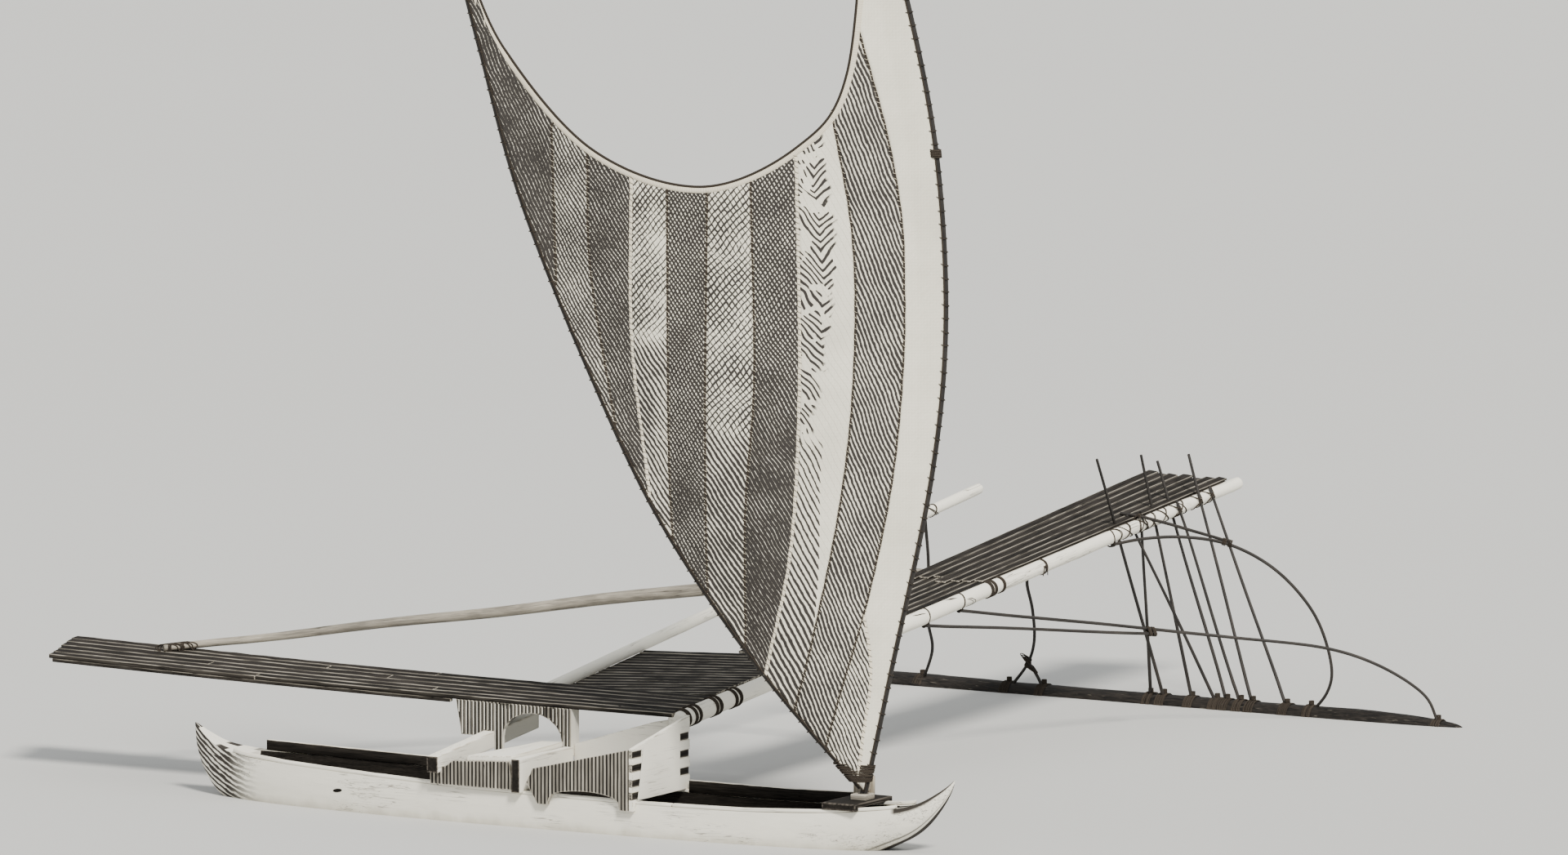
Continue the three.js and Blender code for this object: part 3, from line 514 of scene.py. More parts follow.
def plank(shape, place, across, along, thick, seed, shade=0.5, step=0.12, corner=0.006, uneven=0.0025):
    """A hewn plank. place(a, b, c) gives where a point across, above the seat and along the plank lies.

    across and along are its two limits each way.
    """
    dice = np.random.default_rng(seed)
    (a0, a1), (c0, c1), q = across, along, corner
    width, middle = a1 - a0, (a0 + a1) / 2
    rows = max(3, int((c1 - c0) / step))
    c = np.concatenate([[c0, c0 + 0.3 * q], np.linspace(c0 + q, c1 - q, rows), [c1 - 0.3 * q, c1]])
    inset = np.concatenate([[q, 0.4 * q], np.zeros(rows), [0.4 * q, q]])[:, None]
    section = np.array([
        (q, 0), (0, q), (0, thick - q), (0.3 * q, thick - 0.3 * q), (q, thick), (2.6 * q, thick),
        (0.5 * width, thick), (width - 2.6 * q, thick), (width - q, thick),
        (width - 0.3 * q, thick - 0.3 * q), (width, thick - q), (width, q), (width - q, 0), (0.5 * width, 0),
    ])
    edge = np.array([0.1, 0.0, 0.1, 0.9, 0.9, 0.05, 0, 0.05, 0.9, 0.9, 0.1, 0.0, 0.1, 0.0])
    a = middle + (a0 + section[:, 0] - middle) * (1 - 2 * inset / width)
    b = thick / 2 + (section[:, 1] - thick / 2) * (1 - 2 * inset / thick)
    wave = ripple(np.stack([c, c * 0 + seed], 1), 0.9, seed)
    a = a + uneven * wave[:, None] * np.where(section[:, 0] < width / 2, -1, 1) * 0.7
    c = c[:, None] + 0 * a
    b = b + (section[:, 1] > thick * 0.6) * uneven * ripple_net((a * 3, c), 0.35, seed + 1)
    pith = dice.uniform(-0.5, 0.5) * width, dice.uniform(0.05, 0.12)
    grain = np.stack([a - middle - pith[0], b + pith[1], c + dice.uniform(-9, 9)], axis=2)
    edge = edge + 0 * a
    edge[[0, 1, -2, -1]] = 1
    shape.grid(place(a, b, c), closed_j=True, cap=True, grain=grain, shade=shade, edge=edge)


# Cord work. A pole there is its point, its direction and its radius.
def ring_round(centre, normal, start, poles, cord, count=20):
    """A loop of cord drawn tight round one or two poles, in the plane through centre."""
    n = unit(normal)
    e = unit(np.asarray(start, float) - n * (np.asarray(start, float) @ n))
    f = np.cross(n, e)
    points = []
    for turn in circle(count):
        u = math.cos(turn) * e + math.sin(turn) * f
        spots = [far_side(centre, n, u, c, unit(d), r + cord) for c, d, r in poles]
        points.append(max(spots, key=lambda spot: (spot - centre) @ u))
    return np.array(points)


def far_side(centre, n, u, c, d, r):
    """The farthest point towards u of the cut through a pole, in the plane through centre across n."""
    facing = math.copysign(max(abs(d @ n), 0.25), d @ n)
    hit = c + d * (((centre - c) @ n) / facing)
    flat = d - n * (d @ n)
    major = unit(flat) if np.linalg.norm(flat) > 1e-6 else u
    minor = np.cross(n, major)
    p, q = (r / facing) ** 2 * (u @ major), r * r * (u @ minor)
    reach = math.sqrt(p * (u @ major) + q * (u @ minor))
    return hit + (p * major + q * minor) / max(reach, 1e-9)


def wind(shape, middle, way, start, poles, turns, cord, dice, lean, pitch, count):
    """Turns of cord side by side along way, each a little askew."""
    for k in range(turns):
        at = middle + way * (k - (turns - 1) / 2) * cord * pitch
        askew = np.array([dice.uniform(-lean, lean) for _ in range(3)])
        shape.loop(ring_round(at, way + askew, start, poles, cord, count), cord, dice)


def band(shape, centre, way, radius, turns, cord=CORD_R, seed=0, count=22):
    """Turns of cord side by side round one pole."""
    centre, way = np.asarray(centre, float), unit(way)
    side = unit(np.cross(way, (0.3, 0.2, 1)))
    dice = random.Random(seed)
    wind(shape, centre, way, side, [(centre, way, radius)], turns, cord, dice, 0.03, 2.05, count)


def cross_lash(shape, one, two, turns=4, cord=CORD_R, seed=0, count=20):
    """A lashing where two poles cross."""
    dice = random.Random(seed)
    poles = [(np.asarray(c, float), unit(d), r) for c, d, r in (one, two)]
    (c1, d1, _), (c2, d2, _) = poles
    if d1 @ d2 < 0:
        d2 = -d2
    for way in (unit(d1 + d2), unit(d1 - d2)):
        wind(shape, (c1 + c2) / 2, way, c2 - c1, poles, turns, cord, dice, 0.04, 2.1, count)


# Materials
class Value:
    """What a node gives out. Reckoning with it adds more nodes to the same material."""

    def __init__(self, paint, socket):
        self.paint, self.socket = paint, socket

    def math(self, operation, other=0.0, turned=False):
        pair = (other, self) if turned else (self, other)
        return self.paint.node("Math", dict(enumerate(pair)), operation=operation)

    def __add__(self, other):
        return self.math("ADD", other)

    def __sub__(self, other):
        return self.math("SUBTRACT", other)

    def __rsub__(self, other):
        return self.math("SUBTRACT", other, turned=True)

    def __mul__(self, other):
        return self.math("MULTIPLY", other)

    def __truediv__(self, other):
        return self.math("DIVIDE", other)

    def clamp(self):
        return self.paint.node("Clamp", {"Value": self})

    def saw(self):
        """From 0 to 1 and back again for each step of 1."""
        return self.math("PINGPONG", 0.5) * 2.0

    def between(self, low, high, to_low=0.0, to_high=1.0):
        inputs = dict(enumerate((self, low, high, to_low, to_high)))
        return self.paint.node("MapRange", inputs, interpolation_type="SMOOTHSTEP")

    def stretch(self, *by):
        return self.paint.node("VectorMath", {0: self, 1: by}, operation="MULTIPLY")

    def noise(self, scale, detail=3.0, distortion=0.0):
        inputs = {"Vector": self, "Scale": scale, "Detail": detail, "Distortion": distortion}
        return self.paint.node("TexNoise", {**inputs, "Roughness": 0.55}, "Fac")

    def split(self):
        made = self.paint.node("SeparateXYZ", {0: self}).socket.node
        return [Value(self.paint, socket) for socket in made.outputs]


class Paint:
    """A material that is built node by node."""

    def __init__(self, name, roughness, specular):
        self.material = bpy.data.materials.new(name)
        self.material.use_nodes = True
        self.tree = self.material.node_tree
        self.shader = self.tree.nodes["Principled BSDF"].inputs
        self.put("Roughness", roughness)
        self.put("Specular IOR Level", specular)
        self.grain = self.attribute("grain", "Vector")

    def put(self, key, value, inputs=None):
        socket = (inputs or self.shader)[key]
        if isinstance(value, Value):
            self.tree.links.new(value.socket, socket)
        elif socket.type == "RGBA":
            socket.default_value = (*value, 1)
        else:
            socket.default_value = value

    def node(self, kind, inputs, out=0, **settings):
        made = self.tree.nodes.new("ShaderNode" + kind)
        for key, value in settings.items():
            setattr(made, key, value)
        for key, value in inputs.items():
            self.put(key, value, made.inputs)
        return Value(self, made.outputs[out])

    def attribute(self, name, out="Fac"):
        return self.node("Attribute", {}, out, attribute_name=name)

    def place(self):
        return self.node("TexCoord", {}, "Object")

    def join(self, x, y, z):
        return self.node("CombineXYZ", {0: x, 1: y, 2: z})

    def blend(self, share, a, b, how="MIX"):
        return self.node("Mix", {0: share, 6: a, 7: b}, 2, data_type="RGBA", blend_type=how)

    def dim(self, colour, by):
        return self.blend(1.0, colour, self.join(by, by, by), "MULTIPLY")

    def shaded(self, colour, low, high):
        """The colour under the mesh's own shade, which is from 0 to 1."""
        return self.dim(colour, self.attribute("shade").between(0, 1, low, high))

    def finish(self, colour, height=None, strength=0.6, distance=0.003, roughness=None):
        self.put("Base Color", colour)
        if roughness:
            self.put("Roughness", roughness)
        if height:
            inputs = {"Height": height, "Strength": strength, "Distance": distance}
            self.put("Normal", self.node("Bump", inputs, "Normal"))
        return self.material


def times(colour, by):
    return tuple(min(by * c, 0.95) for c in colour)


def wood_parts(p):
    """Fibres, broad streaks, stains, growth rings and long cracks of solid wood, each from 0 to 1."""
    x, y, _ = p.grain.split()
    fibre = p.grain.stretch(1, 1, 0.035).noise(240, 4, 0.3)
    streak = p.grain.stretch(1, 1, 0.05).noise(46, 3, 0.6)
    stain = p.grain.stretch(1, 1, 0.25).noise(7, 2)
    wobble = p.grain.stretch(1, 1, 0.3).noise(9, 2)
    rings = (wobble * 9.0 + (x * x + y * y).math("SQRT") * 520.0).math("SINE").between(-1, 1)
    crack = (p.grain.stretch(1, 1, 0.03).noise(34, 2, 0.4) - 0.5).math("ABSOLUTE")
    cracked = p.grain.stretch(1, 1, 0.4).noise(3.5, 2).between(0.48, 0.62)
    return fibre, streak, stain, rings, crack.between(0.004, 0.02, 1.0, 0.0) * cracked


def bare_wood(name, dark, light, worn, roughness, edge_wear_and_highlight=0.7, specular=0.3, low=0.62):
    """Wood without paint: dark and light grain, and edges rubbed towards a worn tone,
    which is wear and also a painted highlight.

    low is how light the wood stays where its shade is nil.
    """
    p = Paint(name, roughness, specular)
    fibre, streak, stain, rings, crack = wood_parts(p)
    tone = (fibre * 0.55 + streak * 0.45).between(0.2667, 0.7333)
    colour = p.blend(((rings - 0.5) * 0.35 + tone).clamp(), dark, light)
    colour = p.shaded(colour, low, 1.3)
    colour = p.dim(colour, stain.between(0.35, 0.7, 0.78, 1.12))
    # Pale edges: wear, and a painted highlight along the edges.
    rub = p.attribute("edge") * streak.between(0.35, 0.62, 0.15, 1.0)
    colour = p.blend(rub * edge_wear_and_highlight, colour, worn)
    colour = p.blend(crack * 0.85, colour, times(dark, 0.25))
    return p.finish(colour, fibre * 0.4 + streak * 0.6 - crack, 0.55, 0.0025)


LIME = (0.84, 0.81, 0.71)
UNDER_LIME = (0.46, 0.39, 0.28)
INK = (0.035, 0.03, 0.025)


def limed_wood(name, hull=False):
    """Hewn wood under a coat of lime wash that has worn thin on edges and along the grain."""
    p = Paint(name, 0.82, 0.25)
    fibre, streak, stain, rings, crack = wood_parts(p)
    bare = p.blend(fibre, times(UNDER_LIME, 0.7), UNDER_LIME)
    bare = p.blend(rings * 0.3, bare, times(UNDER_LIME, 0.6))
    coat = p.blend(stain, times(LIME, 0.93), times(LIME, 1.04))
    thin = (fibre * 0.5 + streak * 0.5).between(0.6, 0.74)
    thin = thin * p.grain.noise(2.3, 3).between(0.42, 0.66, 0.18, 0.75)
    rub = p.attribute("edge") * streak.between(0.42, 0.6, 0.0, 0.6)
    colour = p.blend((thin + rub).clamp(), coat, bare)
    colour = p.shaded(colour, 0.88, 1.08)
    colour = p.blend(crack * 0.7, colour, (0.10, 0.085, 0.065))
    height = fibre * 0.25 + streak * 0.5 - crack * 0.8
    if hull:
        colour, height = hull_marks(p, colour, height)
    return p.finish(colour, height, 0.5, 0.003)


def hull_marks(p, colour, height):
    """Adze cuts all over, a stain at the water, and painted shade: streaks that sweep up aft, a dark bow
    edge.
    """
    place = p.place()
    x, _, z = place.split()
    cuts = p.node("TexVoronoi", {"Vector": place.stretch(0.35, 1.0, 1.0), "Scale": 15.0}, "Distance")
    wet = place.stretch(1, 1, 0.4).noise(5, 3) * 0.16 + (0.03 - z)
    colour = p.blend(wet.between(0.0, 0.16, 0.0, 0.55), colour, (0.36, 0.33, 0.25))
    # Painted shade at the stern: dark lines that follow the sweep of the end,
    # so their height falls off towards the middle.
    out = STERN_SHADE_LINES_FROM - x
    bend = z - out * out * 0.42
    lines = p.join(x * 0.25, 0.0, bend).noise(26, 2) * 1.1 + bend * 17.0
    lines = lines.math("FRACT").between(0.34, 0.48)
    colour = p.blend(out.between(0.0, 0.5) * lines, colour, INK)
    # Painted shade along the bow's keel and rim, which the edge attribute carries.
    dark = p.attribute("edge") * x.between(3.35, 3.75)
    return p.blend(dark, colour, INK), cuts * 1.1 + height


def cord_paint(name, dark, light):
    """Laid fibre cord: twisted yarns run slantwise round it, with painted shade between them."""
    p = Paint(name, 0.9, 0.15)
    x, y, z = p.grain.split()
    yarn = (y.math("ARCTAN2", x) * 2.0 + z * 420.0).math("SINE").between(-1.0, 0.6)
    # The grooves between the yarns are painted darker: painted shade.
    tone = (p.grain.noise(420, 2) * 0.5 + yarn * 0.6).clamp()
    return p.finish(p.shaded(p.blend(tone, dark, light), 0.7, 1.25), yarn, 0.7, 0.0015)


PALE_LEAF = (0.84, 0.80, 0.67)
SHADE_LEAF = (0.030, 0.026, 0.023)
LEAF_WIDTH = 0.011


def mat_paint(name, look):
    """A plaited leaf mat. Dark leaves make slanting lines or feather strokes in it, as painted shade."""
    p = Paint(name, 0.72, 0.3)
    u, z, s = p.grain.split()
    flat = p.join(u * -1.0, z, 0.0)
    # The plait: leaf strips that go over and under along both slants.
    rising, falling = u + z, u - z
    over = (rising * (math.pi / LEAF_WIDTH)).math("SINE") * (falling * (math.pi / LEAF_WIDTH)).math("SINE")
    leaf = p.join(rising * 60.0, falling * 4.0, 0.0).noise(1.0, 2)
    colour = p.blend(leaf, times(PALE_LEAF, 0.86), times(PALE_LEAF, 1.05))
    if look["pattern"] != "plain":
        uneven = (flat.noise(2.4, 2) - 0.5) * look.get("patchy", 0.45) + (flat.noise(26, 3) - 0.5) * 0.75
        if look["pattern"] == "feather":
            shade_lines = feather_shade_strokes(p, look, flat, z, s, uneven)
        else:
            shade_lines = crossed_shade_lines(look, flat, z, uneven)
        # The dark leaf lines are painted shade.
        colour = p.blend(shade_lines, colour, SHADE_LEAF)
    # Leaves on top are painted lighter and those that pass under darker: painted light and shade of the
    # plait.
    colour = p.dim(colour, over.between(-1.0, 1.0, 0.86, 1.08))
    colour = p.dim(colour, flat.noise(0.9, 4).between(0.3, 0.75, 1.04, 0.88))
    return p.finish(colour, over, 0.5, 0.0015)


def crossed_shade_lines(look, flat, z, uneven):
    """Slanting lines that others cross, painted shade: how much of the mat is dark at a place, from 0 to 1.
    """
    foot, head = look.get("change", (2.0, 6.5))
    main = slanting(flat, look["steep"], look["pitch"], 1, z.between(foot, head, *look["ink"]) + uneven)
    crossing = z.between(foot, head, *look["crossing"]) + uneven * 0.8
    crossing = crossing * z.between(foot, head, *(float(c > 0) for c in look["crossing"]))
    return main.math("MAXIMUM", slanting(flat, look["steep"] - 8, look["pitch"] * 1.15, -1, crossing))


def slanting(flat, steep, spacing, side, share):
    """Slanting lines of painted shade: dark where the distance across, in spacings, is under the share."""
    a = math.radians(steep)
    right, z, _ = flat.split()
    bend = flat.noise(9.0, 2) * 0.022 + flat.noise(1.9, 1) * 0.07
    across = (right * (side * math.sin(a)) + z * math.cos(a) + bend) / spacing
    return (across.saw() - share).between(-0.12, 0.12, 1.0, 0.0)


def feather_shade_strokes(p, look, flat, z, s, uneven):
    """Painted shade: ragged strokes in pairs like a feather's, on the strip's left part,
    and plain lines near the foot.
    """
    fold = p.join(0.0, z, 0.0).noise(2.2, 1) * 0.35 + 0.22
    left, other = (fold - s).math("MAXIMUM"), (s - fold).math("MAXIMUM")
    rise = left * 0.66 + other * 0.42
    across = (z - rise + flat.noise(3.2, 1) * 0.18) / look["stroke"]
    gaps = uneven * 0.5 + flat.noise(6.0, 1).between(0.38, 0.45, -0.3, 0.42)
    strokes = (across.saw() - gaps).between(-0.07, 0.07, 1.0, 0.0)
    ragged = flat.noise(8.0, 2) * 0.5 + s - z.between(3.9, 6.2, 0.24, 0.66)
    strokes = strokes * ragged.between(0.2, 0.3, 1.0, 0.0) * z.between(3.8, 4.1)
    low = z.between(1.8, 3.8, 0.58, 0.34) + uneven * 0.6
    clear = s - z.between(1.7, 3.9, 1.05, 0.5)
    low = low * z.between(3.95, 4.15, 1.0, 0.0) * clear.between(-0.04, 0.0, 1.0, 0.0)
    return strokes.math("MAXIMUM", slanting(flat, look["steep"], look["pitch"], 1, low))


def bark_paint(name):
    """A dark wet log: long fissures, with pale flecks where the bark has been rubbed off."""
    p = Paint(name, 0.7, 0.2)
    ridge = p.grain.stretch(1, 1, 0.16).noise(38, 4, 1.2)
    fine = p.grain.stretch(1, 1, 0.05).noise(160, 3)
    fleck = p.grain.stretch(1, 1, 0.12).noise(55, 2, 0.5).between(0.65, 0.72)
    colour = p.blend(ridge.between(0.3, 0.7), (0.004, 0.0035, 0.003), (0.024, 0.020, 0.017))
    colour = p.blend(fleck * 0.4, colour, (0.20, 0.18, 0.145))
    return p.finish(colour, fine * 0.25 + ridge, 0.9, 0.008, ridge.between(0.3, 0.7, 0.6, 0.85))


def floor_paint():
    p = Paint("floor", 0.9, 0.1)
    return p.finish(p.blend(p.place().noise(0.05, 2), (0.50, 0.50, 0.485), (0.53, 0.53, 0.515)))


LIMED = limed_wood("limed_wood")
HULL_LIMED = limed_wood("hull_limed_wood", hull=True)
# Near-black planks whose edges go pale: wear, and a painted highlight.
DARK = bare_wood("dark_plank", (0.003, 0.0026, 0.0023), (0.026, 0.022, 0.019), (0.46, 0.42, 0.35), 0.85,
                 edge_wear_and_highlight=0.85, specular=0.08)
# Fluted boards go near black where their shade is nil, on the grooves' floors: painted shade.
FLUTED = bare_wood("fluted_board", (0.20, 0.18, 0.15), (0.54, 0.50, 0.42), (0.62, 0.58, 0.49), 0.8,
                   specular=0.15, low=0.03)
# Near-black wood for the hull's hollow and for faces turned from the light: painted shade. The bow thwart is
# made of it too.
PAINTED_SHADE_WOOD = bare_wood("hull_inside_painted_shade", (0.003, 0.0026, 0.0023), (0.026, 0.022, 0.018), (0.15, 0.13, 0.11), 0.85,
                   specular=0.1)
POLE = bare_wood("pole_wood", (0.24, 0.205, 0.155), (0.50, 0.44, 0.34), (0.6, 0.55, 0.45), 0.72)
BRACE = bare_wood("brace_wood", (0.15, 0.135, 0.11), (0.42, 0.38, 0.31), (0.5, 0.46, 0.38), 0.78)
DARK_POLE = bare_wood("dark_pole", (0.006, 0.005, 0.0045), (0.036, 0.030, 0.025), (0.12, 0.10, 0.08), 0.7,
                      specular=0.4)
BARK = bark_paint("float_bark")
CORD = cord_paint("cord_dark", (0.008, 0.0065, 0.005), (0.060, 0.048, 0.037))
PALE_CORD = cord_paint("cord_pale", (0.42, 0.37, 0.28), (0.78, 0.72, 0.58))


# Where things stand
def boom_at(boom, y):
    return np.array([boom["x"], y, boom["z0"] + boom["rise"] * y])


def boom_radius(boom, y):
    return boom["r0"] + (boom["r1"] - boom["r0"]) * (y - boom["y0"]) / (boom["y1"] - boom["y0"])


def boom_there(boom, y):
    """The boom about y as a pole for a lashing."""
    return boom_at(boom, y), unit((0, 1, boom["rise"])), boom_radius(boom, y)


def boom_top(boom, y):
    return boom["z0"] + boom["rise"] * y + boom_radius(boom, y)


def fore_seat(y):
    """The fore boom's flat, on which planks lie."""
    return boom_top(FORE_BOOM, y) - BOOM_FLAT


def between_booms(x, aft_z, fore_z):
    t = (x - AFT_BOOM["x"]) / (FORE_BOOM["x"] - AFT_BOOM["x"])
    return (1 - t) * aft_z + t * fore_z


def platform_z(x, y):
    """The aft platform's underside. It bends up a little towards its aft end."""
    p = AFT_PLATFORM
    return p["bottom"] + p["bend"] * (x - p["x1"]) ** 2 + p["rise"] * (y - p["y0"])


def deck_z(x, y):
    """The centre deck's underside, from the aft boom's side to the fore boom's flat."""
    return between_booms(x, boom_at(AFT_BOOM, 0.0)[2] + AFT_BOOM["rise"] * y - DECK_BELOW_AXIS, fore_seat(y))


def outer_z(x, y):
    """The outer planks' underside, from below the aft boom to the fore boom's flat."""
    aft_z = boom_at(AFT_BOOM, 0.0)[2] + AFT_BOOM["rise"] * y - boom_radius(AFT_BOOM, y) + 0.003
    return between_booms(x, aft_z, fore_seat(y))


def hull_at(x, line=HULL_STATIONS):
    """The half beam, the sheer and the keel at x, straight from station to station."""
    xs, *columns = np.transpose(line)
    return [np.interp(x, xs, column) for column in columns]


def hull_side(x, z):
    """The hull's near side at a height: where its surface lies across."""
    beam, sheer, keel = hull_at(x, through(HULL_STATIONS, 0.01))
    down = np.clip((sheer - z) / (sheer - keel), 0, 1)
    return -beam * np.sqrt(1 - down ** (2 / SECTION_POWERS[1])) ** SECTION_POWERS[0]


def stick_line(side, cross_y, foot_x, above):
    """The foot, the place beside the boom and the head of a float stick."""
    foot = np.array([foot_x, FLOAT_Y, FLOAT_TOP])
    middle, along, r = boom_there(FORE_BOOM, cross_y)
    offset = r + STICK_R
    for _ in range(4):
        cross = middle + (side * offset, 0, 0)
        stand = unit(cross - foot)
        offset = (r + STICK_R - 0.004) / abs(unit(np.cross(along, stand))[0])
    return foot, cross, cross + stand * above


def sail_point(u, z, n=0.0):
    """A place in the room from one in the sail's plane, n to windward of it."""
    u, z, n = np.broadcast_arrays(np.asarray(u, float), np.asarray(z, float), np.asarray(n, float))
    c, s = math.cos(SAIL_SWING), math.sin(SAIL_SWING)
    return np.stack([TACK.x - u * c - n * s, TACK.y - u * s + n * c, z], axis=-1)


def mat_place(u, z, out=0.0):
    """On the mat: out is the distance to lee of its middle, which bulges to lee as in the CAD."""
    luff, leech = (np.interp(z, *np.transpose(line)[::-1]) for line in (LUFF, LEECH))
    width = np.maximum(leech - luff, 1e-6)
    s = ((u - luff) / width - FLAT_STRIP) / (1 - 2 * FLAT_STRIP)
    belly = np.where((s > 0) & (s < 1), 4 * s * (1 - s) * SAIL_DRAFT * width, 0.0)
    return sail_point(u, z, -belly - out)


# Camera, light and water
def camera():
    level = math.cos(VIEW_RISE)
    back = Vector((math.sin(VIEW_TURN) * level, -math.cos(VIEW_TURN) * level, math.sin(VIEW_RISE)))
    data = bpy.data.cameras.new("camera")
    data.sensor_width = SENSOR
    data.lens = PIXELS_PER_METRE * VIEW_AWAY * SENSOR / FRAME_PIXELS
    data.clip_end = 2000
    made = into_scene("camera", data)
    made.location = LOOK_AT + back * VIEW_AWAY
    made.rotation_euler = back.to_track_quat("Z", "Y").to_euler()
    bpy.context.scene.camera = made


def light():
    data = bpy.data.lights.new("sun", "SUN")
    data.energy = 5.5
    data.angle = 0.2
    data.color = (1.0, 0.965, 0.9)
    made = into_scene("sun", data)
    made.rotation_euler = Vector((0.75, -0.62, 0.95)).to_track_quat("Z", "Y").to_euler()
    world = bpy.data.worlds.new("sky")
    world.use_nodes = True
    sky = world.node_tree.nodes["Background"].inputs
    sky["Color"].default_value = (0.92, 0.94, 0.95, 1)
    sky["Strength"].default_value = 0.95
    bpy.context.scene.world = world


def water():
    """The water's surface, left open inside the hull."""
    stretches = (-3.93, -3.6, 12), (-3.5, 3.6, 60), (3.7, 4.12, 12)
    x = np.concatenate([np.linspace(*stretch) for stretch in stretches])
    y = np.abs(hull_side(x, 0 * x)) - HULL_WALL / 2
    x, y = x[y > 0.004], y[y > 0.004]
    hole = np.concatenate([np.stack([x, -y], axis=1), np.stack([x, y], axis=1)[::-1]])
    way = hole / np.abs(hole).max(axis=1)[:, None]
    rings = np.concatenate([hole, way * 450])
    n = len(hole)
    faces = [(k, n + k, n + (k + 1) % n, (k + 1) % n) for k in range(n)]
    mesh = bpy.data.meshes.new("water")
    mesh.from_pydata([(a, b, 0.0) for a, b in rings.tolist()], [], faces)
    mesh.materials.append(floor_paint())
    into_scene("water", mesh)


# Hull
def hull_xs():
    near_ends = np.array([-0.004, 0.003, 0.012, 0.03, 0.055, 0.09, 0.13, 0.18, 0.24])
    ends = [HOLLOW[0] + near_ends, HOLLOW[1] - near_ends]
    xs = np.unique(np.round(np.concatenate([through(HULL_STATIONS, 0.05)[:, 0], *ends]), 4))
    return xs[np.concatenate([[True], np.diff(xs) > 0.0025])]


def half_oval(shares):
    """A section at shares of the way round: how far across, from -1 to 1, and down, from 0 to 1."""
    a = math.pi * shares[None]
    across = -np.sign(np.cos(a)) * np.abs(np.cos(a)) ** SECTION_POWERS[0]
    return across, np.abs(np.sin(a)) ** SECTION_POWERS[1]


def hull():
    """One carved log: an outer skin with adze marks, a rim, and a rounded hollow."""
    n, m = 44, 30
    xs = hull_xs()
    beam, sheer, keel = (column[:, None] for column in hull_at(xs, through(HULL_STATIONS, 0.01)))
    across, down = half_oval(np.arange(n + 1) / n)
    x, y, z = xs[:, None] + 0 * across, across * beam, sheer - (sheer - keel) * down
    cuts = 0.0028 * ripple_net((x * 0.6, y * 1.6, z * 1.6), 0.24, 5)
    y = y * (1 + cuts * smooth(down * 4) / np.maximum(beam, 0.05))
    outer = np.stack([x, y, z], axis=2)
    inside = np.clip(np.minimum(xs - HOLLOW[0], HOLLOW[1] - xs) / HOLLOW_ROUNDING, 0, 1)
    open_share = np.sqrt(np.clip(1 - (1 - inside) ** 2, 0, 1))[:, None]
    across, down = half_oval(1 - np.arange(m + 1) / m)
    width = np.maximum(beam - HULL_WALL, 0.25 * beam)
    x, y = xs[:, None] + 0 * across, across * width * (0.55 + 0.45 * open_share)
    z = sheer - np.maximum(sheer - keel - HULL_WALL, 0) * down * open_share
    z = z + 0.004 * ripple_net((x, y * 2, z * 2), 0.2, 6) * smooth(down * 3) * open_share
    ring = np.concatenate([outer, np.stack([x, y, z], axis=2)], axis=1)
    opened = open_share[:, 0] > 0.02
    kinds = []
    for i in range(len(xs) - 1):
        # The hollow's inside and the bow's closed top get the near-black wood, as painted shade; the stern's
        # closed top stays limed.
        hollow = 1 if opened[i] and opened[i + 1] or xs[i] > BOW_TOP_SHADE_FROM else 2
        kinds += [0] * (n + 1) + [hollow] * m + [0]
    grain = ring[..., [1, 2, 0]] + (0, 0.35, 0)
    edge = np.zeros(ring.shape[:2])
    # The edge attribute carries the painted shade lines along the bow.
    edge[:, :n + 1] = bow_shade_lines(xs[:, None], np.abs(np.arange(n + 1) - n / 2), n)
    shape = Shape()
    shape.grid(ring, closed_j=True, cap=True, grain=grain, kind=kinds + [0, 0], edge=edge)
    shape.stand_in("hull", [HULL_LIMED, PAINTED_SHADE_WOOD, LIMED], 50, name="hull_log")


def bow_shade_lines(x, from_keel, n):
    """Painted shade in dark lines along the bow's keel and rim, by the column's distance from the keel."""
    drawn = 1.0 * (from_keel < 5) + 0.9 * (from_keel == 8)
    return drawn * (x > BOW_KEEL_SHADE_FROM) + (from_keel > n / 2 - 2) * (x > BOW_RIM_SHADE_FROM)


def strip_place(side):
    """Along a gunwale: across is from its outer edge inwards."""
    def place(a, b, c):
        beam, sheer, _ = hull_at(c)
        out = beam + 0.006 - a
        out = np.where(a > 0.5 * RIM_WIDTH, np.maximum(0.004, out), out)
        return np.stack([c, side * out, sheer + 0.0006 + b], axis=-1)
    return place


def gunwales():
    for name, side, lengths, thick in (
        ("gunwale_near", -1, [(-3.75, -1.2), (-1.19, 1.5), (1.51, 3.9)], RIM_HEIGHT),
        ("gunwale_far", 1, [(-1.25, FORE_STRAKE[0] - 0.001)], RIM_HEIGHT),
        ("gunwale_far_fore", 1, [(FORE_STRAKE[1] + 0.001, 3.9)], RIM_HEIGHT),
        ("fore_strake", 1, [FORE_STRAKE], FORE_STRAKE_HEIGHT),
        ("aft_strake", 1, [(STRAKE[0], STRAKE[1] - 0.001)], STRAKE_HEIGHT),
    ):
        shape = Shape()
        for k, ends in enumerate(lengths):
            seed = 40 + 7 * k + side
            plank(shape, strip_place(side), (0.001, STRIP_WIDTH), ends, thick, seed, 0.5, 0.1, 0.007, 0.0018)
        made = shape.stand_in(name, [LIMED, PAINTED_SHADE_WOOD])
        # The strakes' faces towards the near side get the near-black wood: painted shade.
        if thick > RIM_HEIGHT:
            light_and_shade_by_facing(made, lambda normal: normal.y < -0.6)


def light_and_shade_by_facing(obj, chosen):
    """Painted light and shade: the second material goes on the faces whose normal is chosen."""
    for face in obj.data.polygons:
        if chosen(face.normal):
            face.material_index = 1


